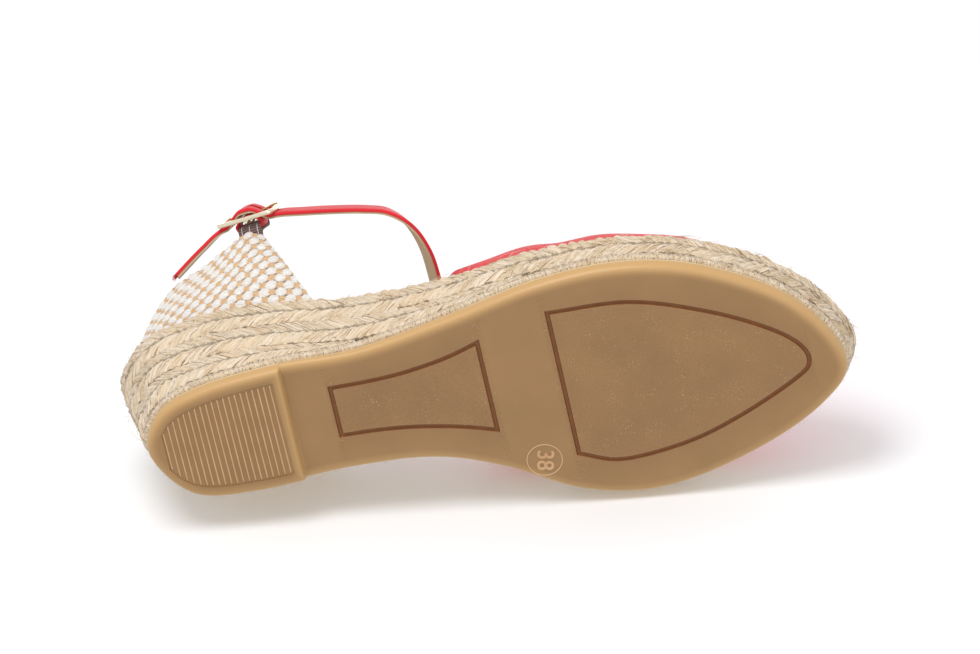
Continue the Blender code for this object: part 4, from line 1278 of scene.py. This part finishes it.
class SANDAL_OT_footbed(bpy.types.Operator):
    """Padded leather sock lining, and the hidden layers under it"""

    bl_idname = "sandal.footbed"
    bl_label = "Footbed"

    def execute(self, context):
        set_material("wedge_core", hidden_layer("moulded_cork_foam", "#7E5F42", "#A9855E"))
        set_material("insole_board", hidden_layer("pressed_fibre_board", "#A5845C", "#C3A47A"))
        set_material("insole_foam", hidden_layer("latex_foam", "#E3DCCB", "#F4EFE2"))
        x = BED_EDGE[0][0] + BED_LENGTH * (1 - np.cos(np.linspace(0, math.pi, 91))) / 2
        outer, inner = side_index(x, False), side_index(x, True)
        outer[0], outer[-1], inner[0], inner[-1] = 0, TOE, TURN, TOE
        low, _ = wall(outer, lambda q: bed_height(q) - 1.2, FOOTBED_INSET)
        high, _ = wall(inner, lambda q: bed_height(q) - 1.2, FOOTBED_INSET)
        low, high = low[1:-1], high[1:-1]
        rows = []
        for k in np.linspace(0, 1, 33):
            p = low + (high - low) * k
            crown = 0.9 + 1.0 * (math.sin(math.pi * k) ** 0.4 - 1) * 0.6
            p[:, 2] = bed_height(p[:, 0]) - 1.25 + crown
            rows.append(p)
        top = np.stack(rows)
        bottom = top.copy()
        bottom[..., 2] = bed_height(bottom[..., 0]) - 1.3
        mesh = shell("padded_sock_lining", top, bottom)
        leather = lining_leather("smooth_sock_leather", linear("#D8C19C"))
        ob = piece(mesh, "shoe", [leather], ["sock_lining"])
        return {"FINISHED"}


# --- ankle strap --------------------------------------------------------------------------------
class Strap:
    """The strap's middle surface: s runs from the buckle's middle bar, negative towards the front."""

    def __init__(self):
        points = [(x, -y, z) for x, y, z in STRAP_FRONT] + STRAP_FRONT[::-1] + STRAP_TAIL
        self.points = spline(points, np.linspace(0, len(points) - 1, 900))
        self.length = np.concatenate([[0], np.cumsum(np.linalg.norm(np.diff(self.points, axis=0), axis=1))])
        gaps = np.linalg.norm(self.points - np.array(BUCKLE_AT), axis=1)
        self.zero = self.length[int(np.argmin(gaps))]
        self.start, self.end = -self.zero, self.length[-1] - self.zero

    def axes(self, s):
        """Point, direction along the strap, direction up its width and outward normal at s."""
        def at(q):
            return Vector([float(np.interp(q + self.zero, self.length, self.points[:, i])) for i in range(3)])

        along = (at(s + 1.5) - at(s - 1.5)).normalized()
        inwards = Vector((along.y, -along.x, 0)).normalized()
        lean = SIDE_LEAN + (FRONT_LEAN - SIDE_LEAN) * along.y ** 2
        up = Vector((0, 0, 1)) * math.cos(lean) + inwards * math.sin(lean)
        up = (up - along * up.dot(along)).normalized()
        return at(s), along, up, up.cross(along)

    def point(self, s, n, w):
        p, _, up, out = self.axes(s)
        return p + out * n + up * w


def hump(s):
    """How far the strap stands out where it crosses the buckle's middle bar."""
    t = min(max((HUMP_FOOT - abs(s)) / (HUMP_FOOT - HUMP_CROWN), 0), 1)
    return HUMP_RISE * t * t * (3 - 2 * t)


def layer_piece(name, strap, low, high, width, corner, materials, replaces):
    """One strap layer with rounded edges; rows run along the strap."""
    half = width / 2
    section = (
        (-half, low), (-half, high - corner), (-half + corner * 0.4, high - corner * 0.3),
        (-half + corner * 1.4, high), (-half * 0.5, high), (0, high), (half * 0.5, high),
        (half - corner * 1.4, high), (half - corner * 0.4, high - corner * 0.3), (half, high - corner),
        (half, low), (half * 0.5, low), (0, low), (-half * 0.5, low),
    )
    s_values = np.concatenate([
        np.linspace(strap.start, -HUMP_FOOT - 1, 150),
        np.linspace(-HUMP_FOOT, HUMP_FOOT, 31),
        np.linspace(HUMP_FOOT + 1, strap.end, 30),
    ])
    rows, uv = [], []
    for s in s_values:
        wave = 0.10 * math.sin(s / 9.0) + 0.06 * math.sin(s / 3.7 + 1)
        uv += [(s, w + n * 0.5) for w, n in section]
        widen = 1 + 0.012 * math.sin(s / 6.0)
        rows.append([strap.point(s, n + hump(s), w * widen + wave * 0.3) for w, n in section])
    grid = np.array(rows)
    n, m = grid.shape[:2]
    faces = grid_faces(n, m, wrap_columns=True).tolist() + [list(range(m)), list(range((n - 1) * m, n * m))]
    mesh = mesh_from(name, grid, faces)
    face_uv(mesh, "fibre", uv)
    ob = piece(mesh, "strap", materials, replaces)
    mesh.set_sharp_from_angle(angle=math.radians(70))
    return ob


def band(name, axes, route, thickness, half_width, along_s, closed=False, bevel=0.2):
    """Flat band bent along a route in a plane of the buckle's frame, with rounded edges and a UV map."""
    origin, along, up, out = (np.array(v) for v in axes)
    p = np.array(route, float)
    before, after = np.roll(p, 1, 0), np.roll(p, -1, 0)
    if not closed:
        before[0], after[-1] = p[0], p[-1]
    step = after - before
    normal = np.stack([-step[:, 1], step[:, 0]], 1) / np.linalg.norm(step, axis=1)[:, None]
    run = np.concatenate([[0], np.cumsum(np.linalg.norm(np.diff(p, axis=0), axis=1))])
    h, t, b = half_width, thickness / 2, min(bevel, thickness * 0.45)
    profile = [(-t, -h + b), (-t + b, -h), (t - b, -h), (t, -h + b),
               (t, h - b), (t - b, h), (-t + b, h), (-t, h - b)]
    rows, uv = [], []
    for q, n, r in zip(p, normal, run):
        row = []
        for side, cross in profile:
            a, c = q + n * side
            flat = (along * a + up * cross) if along_s else (up * a + along * cross)
            row.append(origin + flat + out * c)
            uv.append((r, cross))
        rows.append(row)
    m = len(profile)
    faces = grid_faces(len(p), m, wrap_rows=closed, wrap_columns=True).tolist()
    if not closed:
        faces += [list(range(m)), list(range((len(p) - 1) * m, len(p) * m))]
    mesh = mesh_from(name, rows, faces)
    face_uv(mesh, "fibre", uv)
    return mesh


def smooth_route(points, count, closed=False):
    end = len(points) if closed else len(points) - 1
    return spline(points, np.linspace(0, end, count, endpoint=not closed), closed)


def mirrored(axes):
    origin, along, up, out = (Vector((v.x, -v.y, v.z)) for v in axes)
    return origin, along, up, out


class SANDAL_OT_strap(bpy.types.Operator):
    """Ankle strap, elastic loops, keeper tab and buckle"""

    bl_idname = "sandal.strap"
    bl_label = "Ankle strap and buckle"

    def execute(self, context):
        sizes, colours = context.scene.sandal_sizes, context.scene.sandal_colours
        strap = Strap()
        axes = strap.axes(0)
        red = canvas("folded_red_canvas", colours.red)
        beige = lining_leather("strap_lining_leather", colours.beige)
        gold = plated_metal("gold_plated_zinc", colours.gold)
        # Painted shade: the prong gets a darker, browner copy of the buckle's gold.
        prong_shade_gold = plated_metal("gold_plated_prong_shaded", linear("#C9A468"))
        width = sizes.strap_width / MM
        layers = (
            layer_piece("canvas_ankle_strap", strap, -0.02, 1.15, width, 0.5, [red],
                        ["ankle_strap"]),
            layer_piece("leather_strap_lining", strap, -0.80, -0.06, width - 0.5, 0.15,
                        [beige], ["ankle_strap_lining"]),
        )
        for layer in layers:
            self.prong_hole(layer, axes)
        self.fray(strap, red)
        self.loops(axes, ribbed_webbing())
        half = [(-1.7, 2.35), (-4.6, 0.1), (-4.6, -1.5), (-3.9, -2.3)]
        route = smooth_route([(0, 2.7)] + half + [(0, -2.4)] + [(-a, b) for a, b in half[::-1]], 40, True)
        mesh = band("canvas_buckle_tab", axes, route, TAB_THICKNESS, TAB_HALF_WIDTH,
                    along_s=True, closed=True)
        piece(mesh, "strap", [red], ["buckle_tab"])
        self.buckle(axes, gold)
        rest = BUCKLE_PLANE + BUCKLE_DEPTH / 2 + GAP + 0.4
        turns = np.linspace(math.radians(-215), math.radians(95), 25)
        eye = [(PRONG_EYE * math.cos(a), BAR_OUT + PRONG_EYE * math.sin(a)) for a in turns]
        finger = smooth_route([eye[-1], (-2.2, BAR_OUT + 1.62), (-6.2, rest - 0.75), (-9.4, rest - 0.1),
                               (-(BUCKLE_LENGTH / 2 + 0.4), rest)], 20)
        route = eye[:-1] + [tuple(q) for q in finger]
        mesh = band("plated_prong", axes, route, PRONG_THICKNESS, PRONG_HALF_WIDTH, along_s=True, bevel=0.25)
        piece(mesh, "prong", [prong_shade_gold], ["buckle_prong"])
        return {"FINISHED"}

    def loops(self, axes, webbing):
        """Elastic webbing loops that rise out of the counter's ears and hold the strap."""
        for name, at, outer_leg, inner_leg, node in (
            ("webbing_loop_outer", axes, -1.15, -3.3, "elastic_loop_outer"),
            ("webbing_loop_inner", mirrored(axes), 2.05, -1.85, "elastic_loop_inner"),
        ):
            middle, radius = (outer_leg + inner_leg) / 2, (outer_leg - inner_leg) / 2
            turns = np.linspace(0, math.pi, 9)
            arch = [(LOOP_TOP + radius * math.sin(a), middle - radius * math.cos(a)) for a in turns]
            foot = [(-8.5, -6.2), (-6.8, -5.7)]
            over = [(-4.0, outer_leg - 0.3), (-4.9, (outer_leg - 4.6) / 2), (-5.3, -4.6)]
            rise = [(-5.2, -5.0), (-4.2, inner_leg - 0.5), (-2.0, inner_leg)]
            route = foot + rise + arch + [(-2.0, outer_leg)] + over + foot[::-1]
            mesh = band(name, at, smooth_route(route, 60), LOOP_THICKNESS, LOOP_HALF_WIDTH, along_s=False)
            ob = piece(mesh, None, [webbing], [node])
            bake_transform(ob)

    def prong_hole(self, layer, axes):
        """Slot in a strap layer that the prong comes up through."""
        origin, along, up, out = (np.array(v) for v in axes)
        points = [origin + along * a + up * b + out * c
                  for a in (-8.0, -0.6) for b in (-1.15, 1.15) for c in (-3, 10)]
        faces = [(0, 1, 3, 2), (4, 6, 7, 5), (0, 4, 5, 1), (2, 3, 7, 6), (0, 2, 6, 4), (1, 5, 7, 3)]
        cut(layer, mesh_from("prong_hole", points, faces))

    def fray(self, strap, red):
        """Loose threads at the strap's cut end."""
        rng = random.Random(5)
        points, faces = [], []
        for _ in range(34):
            w, n = rng.uniform(-4.7, 4.7), rng.uniform(0.1, 1.0)
            reach, bend = rng.uniform(0.6, 2.6), rng.uniform(-0.5, 0.5)
            start = len(points)
            for k in range(4):
                t = k / 3
                p, along, up, out = strap.axes(strap.end - 0.4)
                c = np.array(p + along * reach * t + out * (n + bend * t * t) + up * (w + bend * t * 1.4))
                r = 0.16 * (1 - 0.5 * t)
                points += [c + np.array(up) * r, c + np.array(out) * r, c - np.array(up + out) * r * 0.7]
            faces += (grid_faces(4, 3, wrap_columns=True) + start).tolist()
            faces += [(start, start + 1, start + 2), (start + 9, start + 10, start + 11)]
        piece(mesh_from("canvas_frayed_end", points, faces), "strap", [red])

    def buckle(self, axes, gold):
        """Frame of flat stock with softened edges, and its middle bar."""
        origin, along, up, out = (np.array(v) for v in axes)
        half = BUCKLE_STOCK / 2
        hl, hh, r = BUCKLE_LENGTH / 2 - half, BUCKLE_HEIGHT / 2 - half, 1.9
        middle = []
        for k, (sx, sy) in enumerate(((1, 1), (-1, 1), (-1, -1), (1, -1))):
            for i in range(7):
                a = math.pi / 2 * (k + i / 6)
                middle.append((sx * (hl - r) + r * math.cos(a), sy * (hh - r) + r * math.sin(a)))
        middle = np.array(middle)
        step = np.roll(middle, -1, 0) - np.roll(middle, 1, 0)
        side = np.stack([step[:, 1], -step[:, 0]], 1) / np.linalg.norm(step, axis=1)[:, None]
        profile = []
        for a in np.linspace(0, 2 * math.pi, 16, endpoint=False):
            c, d = math.cos(a), math.sin(a)
            # A power under one squares the circle off, for flat stock with soft edges.
            profile.append((half * math.copysign(abs(c) ** SQUARING, c),
                            BUCKLE_DEPTH / 2 * math.copysign(abs(d) ** SQUARING, d)))
        rows = [[origin + along * (m[0] + q[0] * x) + up * (m[1] + q[1] * x) + out * (BUCKLE_PLANE + z)
                 for x, z in profile] for m, q in zip(middle, side)]
        faces = grid_faces(len(rows), len(profile), wrap_rows=True, wrap_columns=True).tolist()
        points = [p for row in rows for p in row]
        turns = np.linspace(0, 2 * math.pi, 14, endpoint=False)
        ring = [(BAR_RADIUS * math.cos(a), BAR_OUT + BAR_RADIUS * math.sin(a)) for a in turns]
        start = len(points)
        reach = BUCKLE_HEIGHT / 2 - 1.0
        for w in (-reach, reach):
            points += [origin + along * a + out * b + up * w for a, b in ring]
        faces += (grid_faces(2, 14, wrap_columns=True) + start).tolist()
        faces += [list(range(start, start + 14)), list(range(start + 14, start + 28))]
        mesh = mesh_from("plated_buckle", points, faces)
        piece(mesh, "strap", [gold], ["buckle_frame"])
        mesh.set_sharp_from_angle(angle=math.radians(50))


# --- stage --------------------------------------------------------------------------------------
class SANDAL_OT_stage(bpy.types.Operator):
    """Pale floor, soft studio light and camera"""

    bl_idname = "sandal.stage"
    bl_label = "Stage"

    def execute(self, context):
        right, up = Vector((0.98, 0.201, 0)), Vector((0.176, -0.858, 0.482))
        view = Vector((0.097, -0.472, -0.876))
        aim = Vector((5.5, -20.0, 20.7)) * MM
        self.camera(context, right, up, view, aim)
        self.floors(right)
        self.lights(right, up, view, aim)
        world = bpy.data.worlds.new("studio_white")
        world.use_nodes = True
        world.node_tree.nodes["Background"].inputs["Color"].default_value = (1, 1, 1, 1)
        world.node_tree.nodes["Background"].inputs["Strength"].default_value = 0.8
        context.scene.world = world
        context.scene.view_settings.view_transform = "Standard"
        return {"FINISHED"}

    def camera(self, context, right, up, view, aim):
        data = bpy.data.cameras.new("camera")
        data.lens = LENS
        data.clip_start, data.clip_end = 0.02, 20
        cam = bpy.data.objects.new("camera", data)
        context.scene.collection.objects.link(cam)
        turn = Matrix((right, up, view)).transposed().to_4x4()
        cam.matrix_world = Matrix.Translation(aim + view * CAMERA_DISTANCE) @ turn
        context.scene.camera = cam

    def floor_material(self):
        """Painted board, matt white, seen only from its lit side so that it never hides the sandal."""
        mat, tree, shader = start_material("painted_studio_floor", 0.9)
        shader.inputs["Base Color"].default_value = (0.93, 0.94, 0.96, 1)
        clear = add(tree, "ShaderNodeBsdfTransparent")
        back = add(tree, "ShaderNodeNewGeometry").outputs["Backfacing"]
        mix = add(tree, "ShaderNodeMixShader", links={0: back, 1: shader.outputs[0], 2: clear.outputs[0]})
        out = [n for n in tree.nodes if n.type == "OUTPUT_MATERIAL"][0]
        tree.links.new(mix.outputs[0], out.inputs[0])
        return mat

    def floors(self, right):
        """A floor under the standing sandal, and the surface its inner side rests on when it's laid down."""
        material = self.floor_material()
        ball, loop = Vector((0.056, 0.0485, 0.018)), Vector((-0.079, 0.0335, 0.1))
        lying = Vector((ball.y - loop.y, loop.x - ball.x, 0)).normalized()
        for name, normal, point in (
            ("floor_lying", lying, ball - lying * 0.0005),
            ("floor_standing", Vector((0, 0, 1)), Vector((0, 0, -0.0006))),
        ):
            a = (right - normal * right.dot(normal)).normalized()
            b = normal.cross(a)
            signs = ((-1, -1), (1, -1), (1, 1), (-1, 1))
            corners = [point + a * x * FLOOR_HALF + b * y * FLOOR_HALF for x, y in signs]
            mesh = bpy.data.meshes.new(name)
            mesh.from_pydata([tuple(c) for c in corners], [], [(0, 1, 2, 3)])
            mesh.materials.append(material)
            ob = bpy.data.objects.new(name, mesh)
            bpy.context.scene.collection.objects.link(ob)
            for ray in ("diffuse", "glossy", "transmission", "shadow", "volume_scatter"):
                setattr(ob, "visible_" + ray, False)

    def lights(self, right, up, view, aim):
        for name, place, size, power in (
            ("key", up * 0.75 + view * 0.75 - right * 0.35, 0.6, 6.0),
            ("fill", view * 1.1 + right * 0.6 - up * 0.1, 0.9, 2.0),
            ("top", Vector((0.1, 0.3, 1.2)), 0.9, 4.0),
        ):
            data = bpy.data.lights.new(name, "AREA")
            data.shape = "DISK"
            data.size = size
            data.energy = power
            ob = bpy.data.objects.new(name, data)
            ob.location = aim + place
            ob.rotation_euler = (-place).to_track_quat("-Z", "Y").to_euler()
            bpy.context.scene.collection.objects.link(ob)


class SANDAL_PT_panel(bpy.types.Panel):
    """Builds the sandal piece by piece"""

    bl_idname = "SANDAL_PT_panel"
    bl_label = "Wedge sandal"
    bl_space_type = "VIEW_3D"
    bl_region_type = "UI"
    bl_category = "Sandal"

    def draw(self, context):
        for group in (context.scene.sandal_sizes, context.scene.sandal_colours):
            box = self.layout.box()
            for name in group.__annotations__:
                box.prop(group, name)
        for operator in OPERATORS:
            self.layout.operator(operator.bl_idname)


OPERATORS = (SANDAL_OT_outsole, SANDAL_OT_jute, SANDAL_OT_footbed, SANDAL_OT_counter, SANDAL_OT_vamp,
             SANDAL_OT_strap, SANDAL_OT_stage)
CLASSES = (SandalSizes, SandalColours, *OPERATORS, SANDAL_PT_panel)


def register():
    for cls in CLASSES:
        bpy.utils.register_class(cls)
    bpy.types.Scene.sandal_sizes = PointerProperty(type=SandalSizes)
    bpy.types.Scene.sandal_colours = PointerProperty(type=SandalColours)


def unregister():
    del bpy.types.Scene.sandal_colours
    del bpy.types.Scene.sandal_sizes
    for cls in reversed(CLASSES):
        bpy.utils.unregister_class(cls)


def main():
    """Build every piece."""
    register()
    for name in ("outsole", "jute", "footbed", "counter", "vamp", "strap", "stage"):
        getattr(bpy.ops.sandal, name)()


if __name__ == "__main__":
    main()
